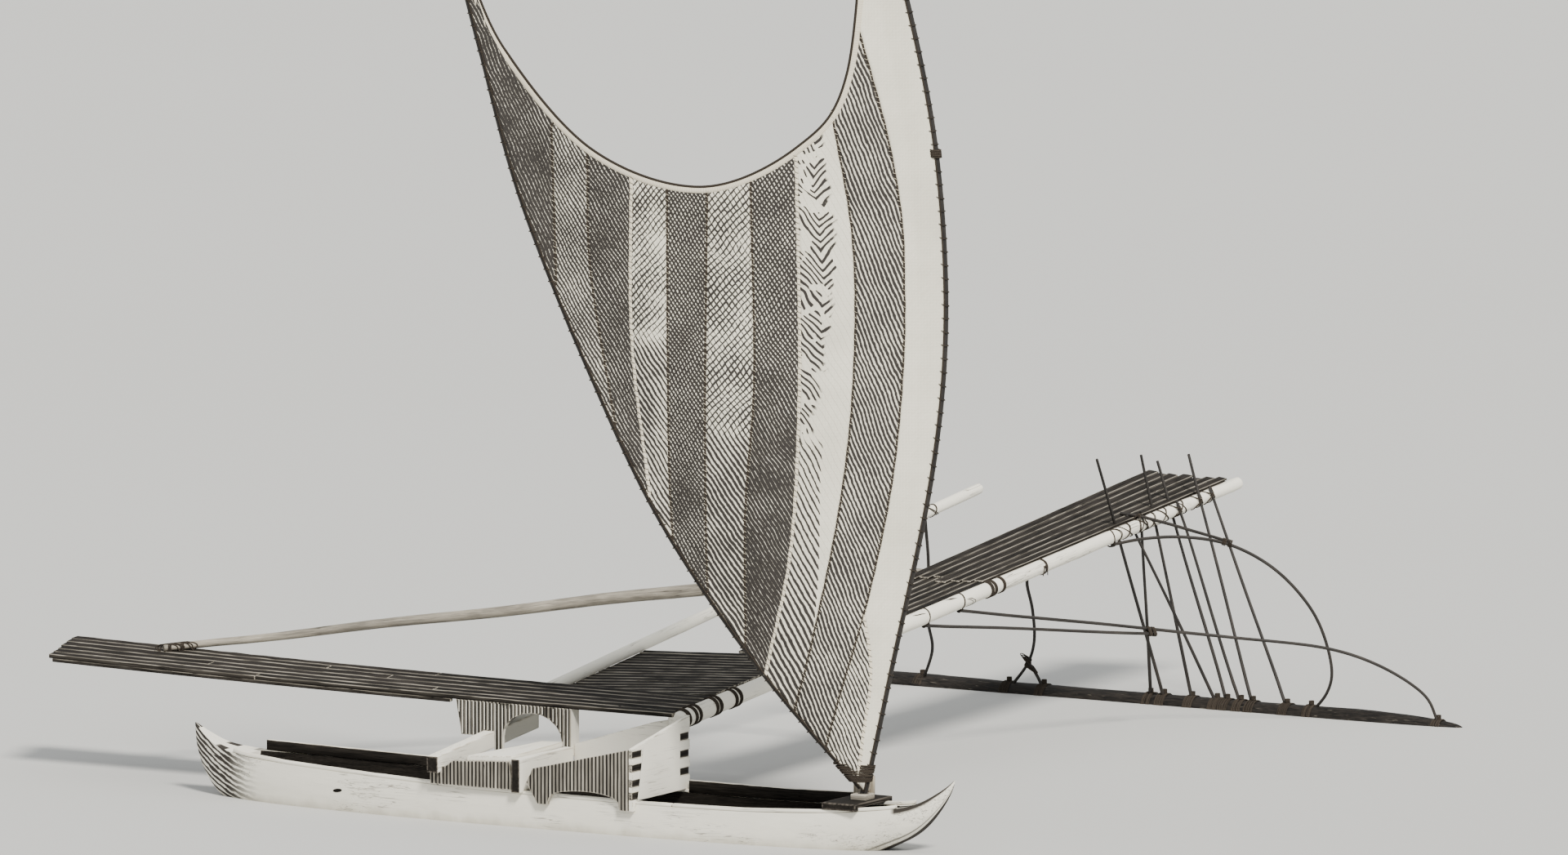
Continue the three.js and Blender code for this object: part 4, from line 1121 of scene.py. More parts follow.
def hull_plug():
    """A dark wooden plug let into the near side."""
    shape = Shape()
    a = circle(20)
    rings = []
    for share, out in ((1.0, -0.01), (1.0, 0.002), (0.75, 0.005), (0.02, 0.006)):
        x = PLUG[0] + 0.055 * share * np.cos(a)
        z = PLUG[1] + 0.018 * share * np.sin(a) + 0.12 * (x - PLUG[0])
        rings.append(np.stack([x, hull_side(x, z) - out, z], axis=1))
    shape.grid(np.array(rings), closed_j=True, cap=True, shade=0.2)
    shape.piece("hull_plug", DARK, crease=40)


# Hewn pieces
def hewn(node, material, along, bevel=0.006, uneven=0.0015, flute=0.0, shade=0.5, seed=1):
    """A hand-cut piece with its CAD piece's outline, rounded edges and uneven faces.

    along is the axis of its grain. flute is the pitch of upright grooves in its broad faces,
    whose floors get painted shade.
    """
    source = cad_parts[node]
    made = bmesh.new()
    made.from_mesh(source.data)
    made.transform(source.matrix_world)
    bmesh.ops.remove_doubles(made, verts=made.verts, dist=1e-5)
    bmesh.ops.dissolve_limit(made, angle_limit=math.radians(3), verts=made.verts, edges=made.edges)
    sharp = [e for e in made.edges if len(e.link_faces) == 2 and e.calc_face_angle(0) > math.radians(35)]
    rounded = bmesh.ops.bevel(made, geom=sharp, offset=bevel, offset_type="OFFSET", segments=2, profile=0.55,
                              affect="EDGES", clamp_overlap=True)
    rubbed = set(rounded["faces"])
    plain = [f for f in made.faces if f not in rubbed and f.calc_area() > 0.002]
    layer = made.verts.layers.float.new("edge")
    for v in made.verts:
        v[layer] = 1.0
    bmesh.ops.inset_individual(made, faces=plain, thickness=0.012, use_even_offset=True)
    for f in plain:
        if f.is_valid:
            for v in f.verts:
                v[layer] = 0.0
    cut_across(made, along, 0.12)
    if flute:
        for share in (0.0, 0.15, 0.28, 0.5, 0.72, 0.85):
            cut_across(made, 0, flute, share)
    made.normal_update()
    places, edge, tones = hewn_points(made, layer, uneven, flute, shade, seed)
    order = [k for k in range(3) if k != along] + [along]
    grain = places[:, order] - places[:, order].mean(axis=0) + (0.05, 0.09, seed * 0.37)
    shape = Shape()
    shape.add(places, [[v.index for v in f.verts] for f in made.faces], grain, tones, edge)
    made.free()
    return shape.stand_in(node, [material, FLUTED], 38)


def cut_across(made, axis, step, share=0.0):
    """Extra edges at equal distances, so that long faces can be uneven."""
    made.verts.ensure_lookup_table()
    values = [v.co[axis] for v in made.verts]
    normal = Vector(np.eye(3)[axis])
    k = math.ceil(min(values) / step - share)
    while (k + share) * step < max(values) - 0.004:
        at = (k + share) * step
        if at > min(values) + 0.004:
            bmesh.ops.bisect_plane(made, geom=made.verts[:] + made.edges[:] + made.faces[:], dist=1e-5,
                                   plane_co=normal * at, plane_no=normal)
        k += 1


def hewn_points(made, layer, uneven, flute, shade, seed):
    made.verts.index_update()
    places = np.array([v.co[:] for v in made.verts])
    normals = np.array([v.normal[:] for v in made.verts])
    edge = np.array([v[layer] for v in made.verts])
    lump = ripple(places, 0.45, seed) * uneven
    tones = np.full(len(places), shade)
    if flute:
        part = np.abs(((places[:, 0] / flute) % 1.0 + 0.5) % 1.0 - 0.5)
        groove = 1 - smooth((part - 0.16) / 0.13)
        broad = smooth((np.abs(normals[:, 1]) - 0.35) / 0.4)
        lump = lump - 0.006 * groove * broad + 0.0015 * broad * (1 - groove)
        uneven_tone = shade + 0.15 * ripple(np.floor(places[:, :1] / flute), 3, 9)
        # The grooves' floors are painted near black: painted shade.
        tones = uneven_tone * (1 - np.minimum(1.2 * groove * broad, 1.0))
        edge = edge * (1 - groove * broad)
    return places + normals * lump[:, None], edge, tones


def crib():
    hewn("crib_board_fore", FLUTED, 2, flute=FLUTE, shade=0.58, seed=3)
    hewn("crib_board_aft", FLUTED, 2, flute=FLUTE, shade=0.55, seed=4)
    # The arch board's low shade darkens it: painted shadow. Its faces towards the bow get pale limed wood:
    # painted light.
    arch = hewn("arch_board", FLUTED, 2, flute=FLUTE, shade=0.30, seed=5)
    arch.data.materials[1] = LIMED
    light_and_shade_by_facing(arch, lambda normal: normal.x > 0.8)
    hewn("crib_board_far", LIMED, 0, seed=6)
    hewn("crib_end_board", LIMED, 1, seed=7)
    for name, seed in (("aft_cross_beam", 8), ("middle_cross_bar", 9)):
        beam = hewn(name, LIMED, 1, 0.008, 0.002, seed=seed)
        # The beams' faces towards the near side get the near-black wood: painted shade.
        beam.data.materials[1] = PAINTED_SHADE_WOOD
        light_and_shade_by_facing(beam, lambda normal: normal.y < -0.8)
    hewn("crib_lid", LIMED, 1, 0.006, 0.002, seed=13)
    hewn("bow_thwart", PAINTED_SHADE_WOOD, 1, 0.007, seed=10)


def box_of(node):
    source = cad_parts[node]
    places = np.array([source.matrix_world @ v.co for v in source.data.vertices])
    return places.min(axis=0), places.max(axis=0)


def tack_block():
    """A block with a round socket in its top, in which the fore spar's foot turns."""
    low, high = box_of("tack_block")
    x, y, _ = sail_point(*SPAR_FOOT, SPAR_AWAY)
    turn = circle(64) + math.pi / 64
    disc = np.stack([np.cos(turn), np.sin(turn)], axis=1)
    square = disc / np.abs(disc).max(axis=1)[:, None]
    sides = np.where(square > 0, high[:2] - (x, y), (x, y) - low[:2]) * square
    soft = np.abs(disc).max(axis=1)[:, None] ** 0.35
    floor, rim = high[2] - 0.024, high[2]
    rows = [
        (0.05 * disc, floor), (0.9 * SOCKET_R * disc, floor), (SOCKET_R * disc, floor + 0.004),
        (SOCKET_R * disc, rim - 0.005), ((SOCKET_R + 0.005) * disc, rim), (sides * 0.90, rim),
        (sides * (1 - 0.06 * soft), rim - 0.001), (sides * 0.995, rim - 0.007), (sides, rim - 0.014),
        (sides, low[2] + 0.005), (sides * 0.96, low[2]), (sides * 0.4, low[2]),
    ]
    places = np.stack([np.column_stack([flat + (x, y), np.full(64, z)]) for flat, z in rows])
    places = places + 0.0012 * ripple(places.reshape(-1, 3), 0.2, 33).reshape(places.shape[:2])[..., None]
    edge = np.repeat([0, 0, 0.1, 0.5, 0.8, 0.1, 0.8, 0.9, 0.2, 0, 0, 0], 64)
    grain = places[..., [1, 2, 0]] - (y + 0.03, low[2] - 0.05, 0)
    shape = Shape()
    shape.grid(places, closed_j=True, cap=True, grain=grain, shade=0.45, edge=edge)
    shape.stand_in("tack_block", BRACE, 40)


def mast_step():
    """Two cheeks on a foot board, with the ends of the pin that the mast turns on."""
    low, high = box_of("mast_step")
    x, y = MAST_FOOT[:2]
    inner = MAST_R[0] + CHEEK_CLEAR
    outer = inner + CHEEK_THICK
    across = (low[0], high[0])
    shape = Shape()
    for k, side in enumerate((-1, 1)):
        def cheek(a, b, c, side=side):
            return np.stack([a, y + side * (inner + b), c], axis=-1)
        plank(shape, cheek, across, (low[2], high[2]), CHEEK_THICK, 90 + k, 0.5, 0.05, 0.004, 0.0008)

    def foot(a, b, c):
        return np.stack([a, c, low[2] + b], axis=-1)
    plank(shape, foot, across, (y - inner - 0.001, y + inner + 0.001), 0.012, 92, 0.4, 0.05, 0.002, 0.0004)
    for side in (-1, 1):
        far, near = (x, y + side * (outer + 0.004), MAST_PIN_Z), (x, y + side * (inner - 0.002), MAST_PIN_Z)
        pole(shape, np.linspace(far, near, 4), 0.014, 0.014, 16, 0, 0.2, 93)
    shape.stand_in("mast_step", POLE, 38)


def slot_shade_keys():
    """Dark wooden keys let into the end board's slots, standing for the shade in them: painted shade."""
    shape = Shape()
    keys = [(ends, z) for ends, heights in KEY_ROWS for z in heights]
    for k, (ends, z) in enumerate(keys):
        def place(a, b, c, z=z):
            return np.stack([KEY_X + b, c, z + a], axis=-1)
        plank(shape, place, (-KEY_HALF, KEY_HALF), ends, KEY_THICK, 60 + k, 0.35, 0.05, 0.004, 0.001)
    shape.piece("slot_shade_keys", DARK, crease=40)


# Booms, platforms and float
def booms():
    platforms = (AFT_PLATFORM["y1"], *(p[y] for p in (CENTRE_DECK, OUTER_PLATFORM) for y in ("y0", "y1")))
    steps = [y + d for y in (TONGUE["y1"], *platforms) for d in (-0.012, 0.012)]
    for name, boom, seed, hew in (
        ("fore_boom", FORE_BOOM, 21, hew_fore_boom), ("aft_boom", AFT_BOOM, 22, hew_aft_boom),
    ):
        on_boom = [y for y in steps if y < boom["y1"] - 0.1]
        ys = np.sort(np.concatenate([np.linspace(boom["y0"], boom["y1"], 110), on_boom]))
        shape = Shape()
        pole(shape, [boom_at(boom, y) for y in ys], boom["r0"], boom["r1"], 28, 0.022, seed=seed)
        for places in shape.places:
            hew(places)
        shape.stand_in(name, LIMED)


def hew_fore_boom(places):
    """The boom's top is cut flat where planks lie on it."""
    x, y, z = places.T
    seats = np.where(y < 1.26, platform_z(0.93, y), fore_seat(y))
    planked = (x < 0.966) & (y < OUTER_PLATFORM["y1"])
    places[:, 2] = np.where(planked, np.minimum(z, seats - 0.001), z)


def hew_aft_boom(places):
    """The boom's top is cut flat under the aft platform, and its inner end is a tongue."""
    x, y, z = places.T
    z = np.where(y < AFT_PLATFORM["y1"], np.minimum(z, platform_z(x, y) - 0.001), z)
    places[:, 2] = np.where(y < TONGUE["y1"], np.maximum(z, TONGUE["bottom"]), z)


def rows_of_planks(low, high, count, gap, dice):
    """Edges of planks side by side with uneven widths."""
    widths = np.array([dice.uniform(0.85, 1.15) for _ in range(count)])
    widths *= (high - low + gap) / widths.sum()
    edges = low + np.concatenate([[0], np.cumsum(widths)])
    return [(edges[i], edges[i + 1] - gap) for i in range(count)]


def lengthwise(y, under_z, lift=0.0):
    """Where the points of a plank that runs along the hull lie."""
    def place(a, b, c):
        return np.stack([c, y + a, under_z(c, y + a) + lift + b], axis=-1)
    return place


def crosswise(x, under_z, lift=0.0):
    """Where the points of a plank that runs across the hull lie."""
    def place(a, b, c):
        return np.stack([x + a, c, under_z(x + a, c) + lift + b], axis=-1)
    return place


def aft_platform():
    dice = random.Random(31)
    p = AFT_PLATFORM
    width = p["y1"] - p["y0"]
    shape = Shape()
    for k, across in enumerate(rows_of_planks(0.0, width, 6, 0.007, dice)):
        near_share = 1 - sum(across) / 2 / width
        skewed = p["x0"] + (AFT_PLATFORM_NEAR_END - p["x0"]) * near_share
        start, stop = skewed + dice.uniform(0, 0.02), p["x1"] - dice.uniform(0, 0.012)
        for m, ends in enumerate(((start, AFT_JOINTS[k] - 0.004), (AFT_JOINTS[k] + 0.004, stop))):
            place = lengthwise(p["y0"], platform_z, dice.uniform(-0.002, 0.0))
            seed, shade = 200 + 9 * k + m, dice.uniform(0.2, 0.9)
            plank(shape, place, across, ends, PLANK, seed, shade, 0.16, 0.006, 0.003)
    shape.stand_in("aft_platform", DARK, 40, name="aft_platform_planks")
    under = Shape()
    lift = -UNDER_HEIGHT - 0.001
    ledge = (AFT_PLATFORM_NEAR_END + 0.03, -1.62)
    plank(under, lengthwise(p["y0"], platform_z, lift), (0.0, 0.05), ledge, UNDER_HEIGHT, 231, 0.5, 0.2)
    for k in range(6):
        place = crosswise(UNDER_FROM + UNDER_STEP * k, platform_z, lift)
        plank(under, place, (0.0, BATTEN_WIDTH), UNDER_SPAN, UNDER_HEIGHT, 240 + k, 0.5, 0.15)
    under.piece("aft_platform_battens", DARK, crease=40)


def centre_deck():
    dice = random.Random(33)
    p = CENTRE_DECK
    shape = Shape()
    for k, across in enumerate(rows_of_planks(0.0, p["y1"] - p["y0"], 16, 0.008, dice)):
        ends = (p["x0"] + 0.002 + dice.uniform(0, 0.008), p["x1"] - dice.uniform(0, 0.012))
        thick, shade = PLANK - dice.uniform(0, 0.004), dice.uniform(0.15, 0.95)
        plank(shape, lengthwise(p["y0"], deck_z), across, ends, thick, 300 + k, shade, 0.12, 0.006, 0.003)
    shape.stand_in("centre_deck", DARK, 40, name="centre_deck_planks")


def outer_platform():
    dice = random.Random(35)
    p = OUTER_PLATFORM
    shape = Shape()
    # Columns: distance in from the edges, planks, gap, start, its spread, height of the seat, thick, seed.
    for inset, count, gap, start, spread, lift, thick, seed in (
        (0.0, 8, 0.007, p["y0"], 0.12, 0.0007, 0.022, 400),
        (0.02, 7, 0.008, UPPER_PLANKS_FROM, 0.25, 0.0232, 0.0195, 430),
    ):
        rows = rows_of_planks(inset, p["x1"] - p["x0"] - inset, count, gap, dice)
        for k, across in enumerate(rows):
            ends = (start + dice.uniform(0, spread), p["y1"] - dice.uniform(0.0, 0.3))
            place, shade = crosswise(p["x0"], outer_z, lift), dice.uniform(0.2, 0.9)
            plank(shape, place, across, ends, thick, seed + k, shade, 0.16, 0.004, 0.002)
    shape.stand_in("outer_platform", DARK, 40, name="outer_platform_planks")


def battens():
    half = BATTEN_WIDTH / 2
    for k, (name, y, x0, x1) in enumerate(BATTENS):
        shape = Shape()
        place = lengthwise(y, outer_z, -BATTEN_HEIGHT - 0.0005)
        ends = (x0, min(x1, FORE_BOOM["x"] - boom_radius(FORE_BOOM, y) + 0.004))
        plank(shape, place, (-half, half), ends, BATTEN_HEIGHT, 450 + k, 0.5, 0.12, 0.009, 0.0015)
        shape.stand_in(name, BRACE, 40)


def brace_there(t):
    """The diagonal brace as a pole, at a share of its length from its aft end."""
    aft = np.array([*BRACE_AFT, platform_z(*BRACE_AFT) + PLANK + BRACE_R[0] - 0.003])
    fore = np.array([*BRACE_FORE, boom_top(AFT_BOOM, BRACE_FORE[1] - 0.14) + BRACE_R[1] + 0.003])
    return aft + (fore - aft) * t, fore - aft, BRACE_R[0] + (BRACE_R[1] - BRACE_R[0]) * t


def straight(foot, head, count):
    return foot + (np.asarray(head) - foot) * np.linspace(0, 1, count)[:, None]


def brace():
    shape = Shape()
    path = straight(brace_there(0)[0], brace_there(1)[0], 70)
    pole(shape, path, *BRACE_R, 24, 0.03, seed=41, wander=0.008)
    shape.stand_in("diagonal_brace", BRACE)


def float_log():
    x, r = through(FLOAT_PROFILE, 0.03).T
    angle, along = np.meshgrid(circle(40), x)
    c, s = np.cos(angle), np.sin(angle)
    lump = ripple_net((c * 0.7, s * 0.7, along), 0.8, 51)
    fine = ripple_net((c * 2, s * 2, along), 0.35, 52)
    girth = np.maximum(r, 0.004)[:, None] * (1 + 0.03 * lump + 0.018 * fine)
    shape = Shape()
    places = np.stack([along, FLOAT_Y + girth * c, FLOAT_Z + girth * s], axis=2)
    shape.grid(places, closed_j=True, cap=True, grain=np.stack([girth * c, girth * s, along], axis=2))
    shape.stand_in("float", BARK, 50, name="float_log")


def sticks_and_rods():
    for k, (name, *row) in enumerate(STICKS):
        foot, _, head = stick_line(*row)
        shape = Shape()
        pole(shape, straight(foot, head, 26), STICK_R, STICK_R - 0.004, 12, 0.05, seed=500 + k, wander=0.005)
        shape.stand_in(name, DARK_POLE)
    for k, (name, points) in enumerate(BENT_RODS.items()):
        shape = Shape()
        pole(shape, through(points, 0.05), ROD_R, ROD_R * 0.92, 12, 0.05, seed=520 + k, wander=0.003)
        shape.stand_in(name, DARK_POLE)


# Mast and sail
def mast():
    shape = Shape()
    pole(shape, straight(MAST_FOOT, MAST_HEAD, 60), *MAST_R, 24, 0.02, seed=61)
    shape.stand_in("mast", POLE, body="mast")


def spar_path(first, points):
    flat = through([first, *points[1:]], 0.08, alpha=0)
    return sail_point(flat[:, 0], flat[:, 1], SPAR_AWAY)


def spars():
    for name, first, points, seed in (
        ("fore_spar", SPAR_FOOT, LUFF, 63), ("aft_spar", AFT_SPAR_FOOT, LEECH, 64),
    ):
        shape = Shape()
        pole(shape, spar_path(first, points), SPAR_R, SPAR_R * 0.97, 20, 0.025, seed=seed)
        shape.stand_in(name, DARK_POLE, body="sail_rig")


def portion(line, p, q):
    """The stretch of a line from the point nearest to p to the one nearest to q."""
    i, j = nearest(line, p), nearest(line, q)
    return line[i:j + 1] if i <= j else line[j:i + 1][::-1]


def sail_lines():
    """The mat's edges and seams, all as dense lines from foot to head."""
    head, leech, luff = (through(line, 0.01, alpha=0) for line in (HEAD, LEECH, LUFF))
    seams = {}
    for key, points in SEAMS.items():
        line = through(points, 0.02)
        if key != 11:
            line[0] = head[nearest(head, line[0])]
        line[-1] = leech[nearest(leech, line[-1])]
        seams[key] = line[::-1]
    return head, leech, luff, seams


def coons(left, right, bottom, top, columns, rows):
    """Points [i][j] of a patch between four lines; i runs from foot to head, j from left to right."""
    l, r = resample(left, rows), resample(right, rows)
    b, t = resample(bottom, columns), resample(top, columns)
    s = np.linspace(0, 1, columns)[None, :, None]
    h = np.linspace(0, 1, rows)[:, None, None]
    sides = (1 - s) * l[:, None] + s * r[:, None]
    ends = (1 - h) * b[None] + h * t[None]
    corners = (1 - s) * (1 - h) * b[0] + s * (1 - h) * b[-1] + (1 - s) * h * t[0] + s * h * t[-1]
    return sides + ends - corners


def sail_panels(head, leech, luff, seams):
    """Each strip of the mat as its four edges: left, right, foot and head."""
    tip = np.array([LEECH[-1], HEAD[0]])
    panels = [(tip, seams[1], portion(leech, LEECH[-1], seams[1][0]), portion(head, HEAD[0], seams[1][-1]))]
    whole = [seams[key] for key in seams if key != 11]
    for one, two in zip(whole[:-1], whole[1:]):
        panels.append((one, two, portion(leech, one[0], two[0]), portion(head, one[-1], two[-1])))
    lower = portion(seams[10], seams[10][0], FORK)
    upper = portion(seams[10], FORK, seams[10][-1])
    fork = lower[-1:]
    side = np.vstack([seams[11][:-1], fork])
    panels.append((lower, side, portion(leech, lower[0], side[0]), np.vstack([fork, fork])))
    left = np.vstack([side, upper[1:]])
    peak = np.vstack([portion(head, upper[-1], HEAD[-1]), LUFF[-1]])
    panels.append((left, luff, portion(leech, left[0], LEECH[0]), peak))
    return panels


def pillow(s, t):
    """How far a strip of mat swells between its seams."""
    return 0.011 * np.sin(math.pi * np.clip(s, 0, 1)) * smooth(t * 9) * smooth((1 - t) * 9)


def sail():
    lines = sail_lines()
    shape = Shape()
    s, t = np.meshgrid(*(np.linspace(0, 1, count) for count in PANEL_NET))
    for k, edges in enumerate(sail_panels(*lines)):
        u, z = np.moveaxis(coons(*edges, *PANEL_NET), 2, 0)
        crumple = 0.0035 * ripple_net((u, z), 0.5, 71)
        out = pillow(s, t) + crumple * smooth((np.minimum(s, 1 - s) + 0.02) * 6)
        shape.grid(mat_place(u, z, out), grain=np.stack([u, z, s], axis=2), kind=k)
    paints = [mat_paint(f"mat_{k}", look) for k, look in enumerate(MAT_LOOKS)]
    obj = shape.stand_in("sail", paints, None, "sail_rig", "sail_mat")
    closed = obj.modifiers.new("thick", "SOLIDIFY")
    closed.thickness = 0.005
    closed.offset = 0
    head, leech, luff, seams = lines
    pieces = [seam_strips(seams), seam_stitches(seams), hem(head), edge_ropes(luff, leech)]


def left_of(way):
    """Directions in the sail's plane turned a quarter round."""
    return np.stack([way[..., 1], -way[..., 0]], axis=-1)


def tapes(shape, path, side, widths, shifts, outs, **facts):
    """A narrow strip of leaf on each face of the mat. Its lines lie at shifts to the side of the path."""
    flat = path[:, None] + side[:, None] * shifts[..., None]
    grain = np.stack(np.broadcast_arrays(widths, 0.0, run_along(path)[:, None]), axis=2)
    for face in (1, -1):
        shape.grid(mat_place(flat[..., 0], flat[..., 1], face * outs), grain=grain, **facts)


def seam_strips(seams):
    """A narrow strip of leaf sewn over each seam, on both faces."""
    shape = Shape()
    outs = np.array([0.001, 0.0055, 0.007, 0.0055, 0.001])
    for key, line in seams.items():
        half, shade, kind = (0.018, 0.75, 0) if key in PALE_SEAMS else (0.012, 0.4, 1)
        path = resample(line, 120)
        widths = np.array([-1.0, -0.67, 0.0, 0.67, 1.0]) * half
        wavy = widths + 0.002 * np.sin(run_along(path) * 21 + key)[:, None]
        tapes(shape, path, left_of(ways_along(path)), widths, wavy, outs, shade=shade, kind=kind)
    return shape.piece("seam_strips", [PALE_CORD, CORD], "sail_rig")


def seam_stitches(seams):
    """Slanting stitches across each seam, on both faces."""
    shape = Shape()
    dice = random.Random(73)
    across = np.array([-0.022, -0.014, 0.0, 0.014, 0.022])[:, None]
    outs = np.array([0.0, 0.008, 0.0105, 0.008, 0.0])
    for key, line in seams.items():
        path = resample(line, max(4, int(run_along(line)[-1] / 0.055)))
        ways = ways_along(path)
        for spot, way, side in list(zip(path, ways, left_of(ways)))[1:-1]:
            lean = dice.uniform(0.008, 0.016)
            u, z = (spot + (side + way * lean / 0.02) * across).T
            for face in (1, -1):
                stitch, shade = mat_place(u, z, face * outs), dice.uniform(0.3, 0.8)
                shape.tube(stitch, 0.0022, 4, shade=shade, kind=int(key in PALE_SEAMS))
    return shape.piece("seam_stitches", [PALE_CORD, CORD], "sail_rig")


def hem(head):
    """A pale doubled band along the head, with a dark rope along its edge."""
    shape = Shape()
    path = resample(head, 200)
    down = left_of(ways_along(path))
    down *= np.sign(-down[len(down) // 2, 1])
    run = run_along(path)
    ease = 0.25 + 0.75 * smooth(np.minimum(run, run[-1] - run) / 0.35)
    widths = np.array([0.0, 0.01, 0.035, 0.058, 0.064])
    outs = np.array([0.003, 0.0085, 0.0095, 0.0085, 0.001])
    tapes(shape, path, down, widths, widths * ease[:, None], outs, shade=0.6)
    shape.tube(mat_place(*path.T), 0.014, 10, shade=0.2, kind=1)
    return shape.piece("sail_hem", [PALE_CORD, CORD], "sail_rig")


def edge_ropes(luff, leech):
    """Ropes sewn along the luff and the leech, and the lacing that holds them to the spars."""
    shape = Shape()
    dice = random.Random(77)
    for line in (luff, leech):
        shape.tube(mat_place(*resample(line, 150).T, 0.006), 0.008, 6, shade=0.4)
        spots = resample(line, int(run_along(line)[-1] / 0.13))[2:-1]
        for spot, way in zip(spots, ways_along(spots)):
            lace(shape, spot, way, dice)
    return shape.piece("spar_lacing", CORD, "sail_rig")


def lace(shape, spot, way, dice):
    """One loop of cord through the mat and round its spar."""
    lean = dice.uniform(0.006, 0.02)
    a = circle(16)
    round_it = np.cos(a)[:, None]
    u, z = (spot + left_of(way) * LACE_R * round_it + way * lean * round_it).T
    shape.loop(sail_point(u, z, LACE_AWAY + LACE_R * np.sin(a)), 0.0048, dice)


def rig_lashings():
    dice = random.Random(81)
    tack_lashing(dice)
    masthead_strop(dice)


def tack_lashing(dice):
    """The lashing that joins the spars at the tack."""
    shape = Shape()
    fore, aft = spar_path(SPAR_FOOT, LUFF), spar_path(AFT_SPAR_FOOT, LEECH)
    for k in range(TACK_TURNS):
        z = TACK_LASH_FROM + TACK_LASH_PITCH * k
        i, j = int(np.argmin(abs(fore[:, 2] - z))), int(np.argmin(abs(aft[:, 2] - z)))
        poles = [
            (fore[i], fore[i + 1] - fore[i - 1], 0.046), (aft[j], aft[j + 1] - aft[max(j - 1, 0)], 0.046),
        ]
        middle = np.array([*((fore[i] + aft[j]) / 2)[:2], z])
        up = (dice.uniform(-0.05, 0.05), dice.uniform(-0.05, 0.05), 1.0)
        shape.loop(ring_round(middle, up, fore[i] - aft[j], poles, 0.007, 28), 0.007, dice, 6)
    shape.piece("tack_lashing", CORD, "sail_rig")


def masthead_strop(dice):
    """The strop from the mast's head to the fore spar, which turns inside it."""
    shape = Shape()
    way = unit(np.subtract(MAST_HEAD, MAST_FOOT))
    top = MAST_HEAD - way * 0.07
    spar = sail_point(*LUFF[4], SPAR_AWAY)
    spar_way = sail_point(-0.68, 7.1, SPAR_AWAY) - sail_point(-0.71, 6.8, SPAR_AWAY)
    poles = [(top, way, MAST_R[1] + 0.001), (spar, spar_way, SPAR_R + 0.013)]
    for k in range(5):
        at = (top + spar) / 2 + way * (k - 2) * 0.0165
        across = way + (0, 0, dice.uniform(-0.03, 0.03))
        shape.loop(ring_round(at, across, spar - top, poles, 0.008, 36), 0.008, dice, 6)
    band(shape, top, way, MAST_R[1] + 0.015, 7, 0.006, 82)
    shape.piece("masthead_strop", CORD, "mast")


# Lashings on the hull, the booms and the float
def boom_lashings():
    shape = Shape()
    for boom, ys in ((FORE_BOOM, FORE_BANDS), (AFT_BOOM, AFT_BANDS)):
        for k, y in enumerate(ys):
            at, way, r = boom_there(boom, y)
            band(shape, at, way, r - 0.001, 4, 0.0065, 90 + k, 28)
    for _, y, x0, _ in BATTENS:
        if x0 < AFT_BOOM["x"]:
            batten = (AFT_BOOM["x"], y, outer_z(AFT_BOOM["x"], y) - BATTEN_HEIGHT / 2)
            cross_lash(shape, boom_there(AFT_BOOM, y), (batten, (1, 0, 0), 0.035), 3, seed=int(y * 10))
    for k, (_, *row) in enumerate(STICKS):
        foot, cross, head = stick_line(*row)
        stick = (cross, head - foot, STICK_R)
        cross_lash(shape, boom_there(FORE_BOOM, row[1]), stick, 2, 0.0045, 110 + k)
    for name, boom in (
        ("float_hoop", FORE_BOOM), ("float_long_rod", FORE_BOOM), ("float_long_rod_2", FORE_BOOM),
        ("hoop_brace", FORE_BOOM), ("aft_stanchion_inner", AFT_BOOM),
    ):
        line = through(BENT_RODS[name], 0.02)
        at, way, _ = boom_there(boom, 5.0)
        i = int(np.argmin(np.linalg.norm(np.cross(line - at, way), axis=1)))
        y = line[i][1]
        cross_lash(shape, boom_there(boom, y), (line[i], way_at(line, i), ROD_R), 2, 0.0045, int(y * 9))
    shape.piece("boom_lashings", CORD)


def float_lashings():
    """Cord round the float over the foot of each stick and rod."""
    shape = Shape()
    for k, x in enumerate([row[3] for row in STICKS] + list(ROD_FEET)):
        r = 0.133 if x < 3.4 else 0.09
        for shift in (-0.028, 0.028):
            band(shape, (x + shift, FLOAT_Y, FLOAT_Z), (1, 0, 0), r, 4, 0.006, 130 + k, 30)
        band(shape, (x, FLOAT_Y, FLOAT_Z + r + 0.03), (0, 0, 1), STICK_R + 0.002, 4, 0.005, 150 + k, 14)
    shape.piece("float_lashings", CORD)


def rod_lashings():
    """Cord where one bent rod is tied to another."""
    shape = Shape()
    for one, other, end, next_to_it in (
        ("float_long_rod_2", "float_long_rod", -1, -4), ("hoop_brace", "float_hoop", -1, -4),
        ("stanchion_fork", "aft_stanchion_outer", 0, 3),
    ):
        line, host = through(BENT_RODS[one], 0.02), through(BENT_RODS[other], 0.02)
        j = nearest(host, line[end])
        way = unit(way_at(host, j))
        poles = [(line[end], line[end] - line[next_to_it], ROD_R), (host[j], way, ROD_R)]
        for shift in (-0.03, 0.03):
            for turn in range(4):
                at = (line[end] + host[j]) / 2 + way * (shift + (turn - 1.5) * 0.0105)
                loop = ring_round(at, way, (0, 0, 1), poles, 0.005, 18)
                shape.tube(loop, 0.005, 5, closed=True, shade=0.2 + 0.15 * turn)
    shape.piece("rod_lashings", CORD)


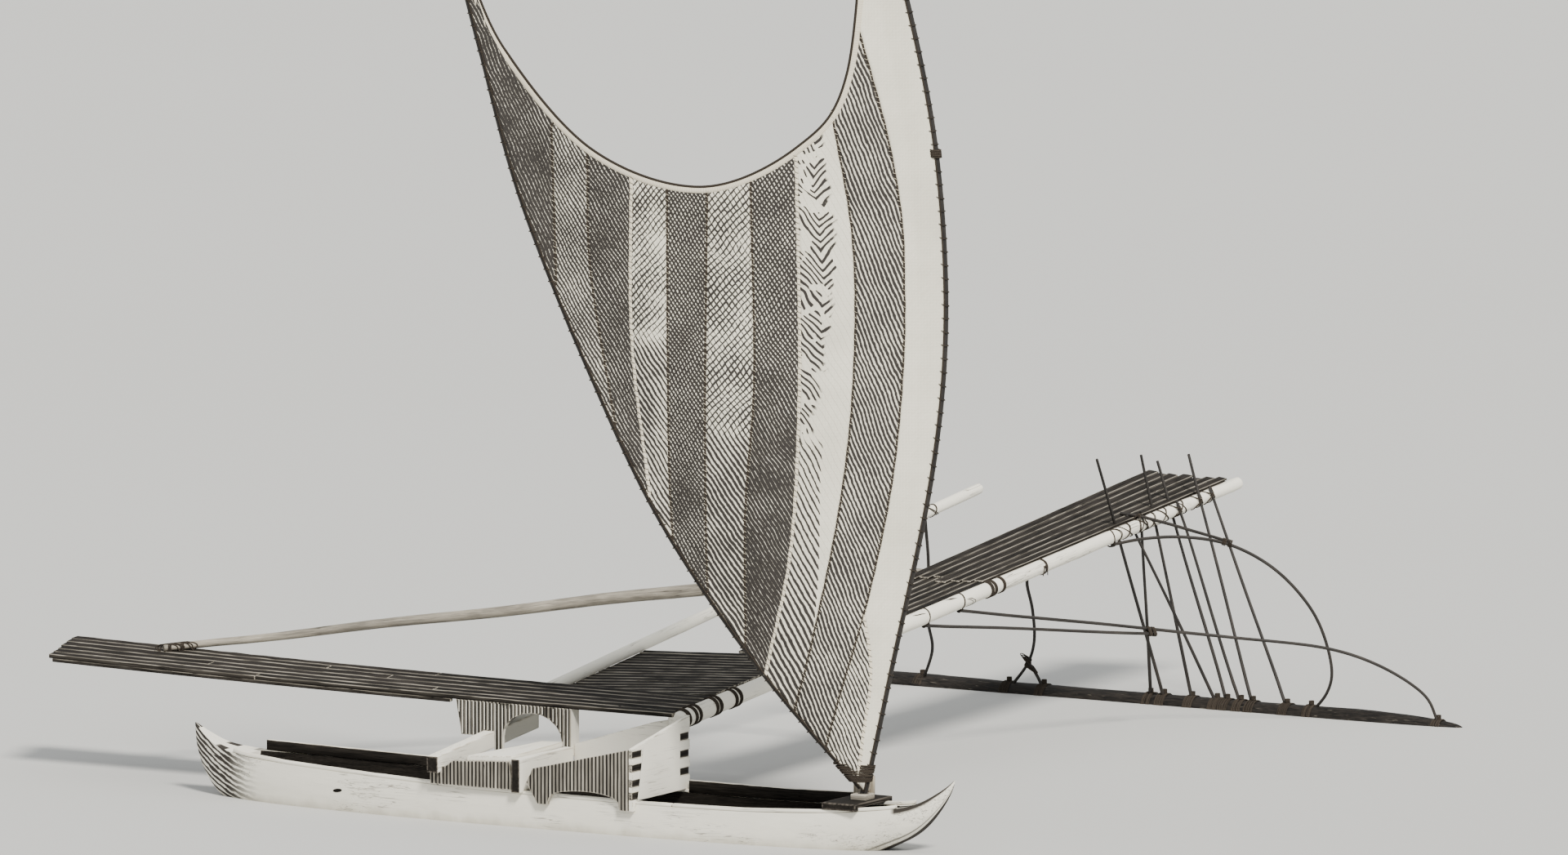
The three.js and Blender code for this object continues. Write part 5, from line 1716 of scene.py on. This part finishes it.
def brace_lashings():
    """Cord where the brace crosses the aft boom, and at its end on the aft platform."""
    shape = Shape()
    aft, way, _ = brace_there(0)
    brace_here = brace_there((AFT_BOOM["x"] - aft[0]) / way[0])
    cross_lash(shape, boom_there(AFT_BOOM, brace_here[0][1]), brace_here, 6, 0.0075, 171, 26)
    for k, run in enumerate((0.07, 0.2)):
        brace_here = brace_there(run / np.linalg.norm(way))
        x, y, _ = brace_here[0]
        planks = ((x, y, platform_z(x, y) + 0.022), (1, 0, 0), 0.026)
        cross_lash(shape, brace_here, planks, 3, seed=180 + k)
    shape.piece("brace_lashings", CORD)


def crib_lashings():
    """Cord round the fore boom and the aft cross beam, where they rest on the crib's boards."""
    shape = Shape()
    for y in (0.575, 0.61):
        at, way, r = boom_there(FORE_BOOM, y)
        band(shape, at, way, r - 0.001, 3, seed=190)
    dice = random.Random(195)
    square = np.stack([np.cos(circle(28)), 0 * circle(28), np.sin(circle(28))], axis=1)
    square = np.sign(square) * np.abs(square) ** 0.35 * (CROSS_BEAM_HALF + CORD_R)
    for k in range(4):
        shift = (k - 1.5) * CORD_R * 2.1 + dice.uniform(-0.001, 0.001)
        shape.loop(CROSS_BEAM_AT + square + (0, shift, 0), CORD_R, dice)
    shape.piece("crib_lashings", CORD)


def boom_knot():
    """A ring of cord round the fore boom, with a knot and two short ends on its outer side."""
    shape = Shape()
    at, way, r = boom_there(FORE_BOOM, KNOT_Y)
    band(shape, at, way, r - 0.001, 3, 0.006, 201, 28)
    out = unit((0.75, -0.4, 0.1))
    for k in range(3):
        turn = np.cross(out, unit((0.2 * k, 1, 0.5 - 0.4 * k)))
        knot = at + out * (r + 0.012)
        loop = ring_round(knot, turn, out, [(knot, turn, 0.012)], 0.006, 14)
        shape.tube(loop, 0.006, 6, closed=True, shade=0.3 + 0.2 * k)
    for lean in (-0.05, 0.045):
        drops = (0, 0, 0), (0, lean * 0.6, -0.03), (0, lean, -0.09)
        ends = [at + out * (r + away) + drop for away, drop in zip((0.01, 0.03, 0.022), drops)]
        shape.tube(through(ends, 0.01), 0.005, 6, shade=0.5)
    shape.piece("boom_knot", CORD)


for build in (
    camera, light, water, hull, gunwales, hull_plug, crib, tack_block, mast_step, slot_shade_keys, booms,
    aft_platform, centre_deck, outer_platform, battens, brace, float_log, sticks_and_rods, mast, spars, sail,
    rig_lashings, boom_lashings, float_lashings, rod_lashings, brace_lashings, crib_lashings, boom_knot,
):
    build()
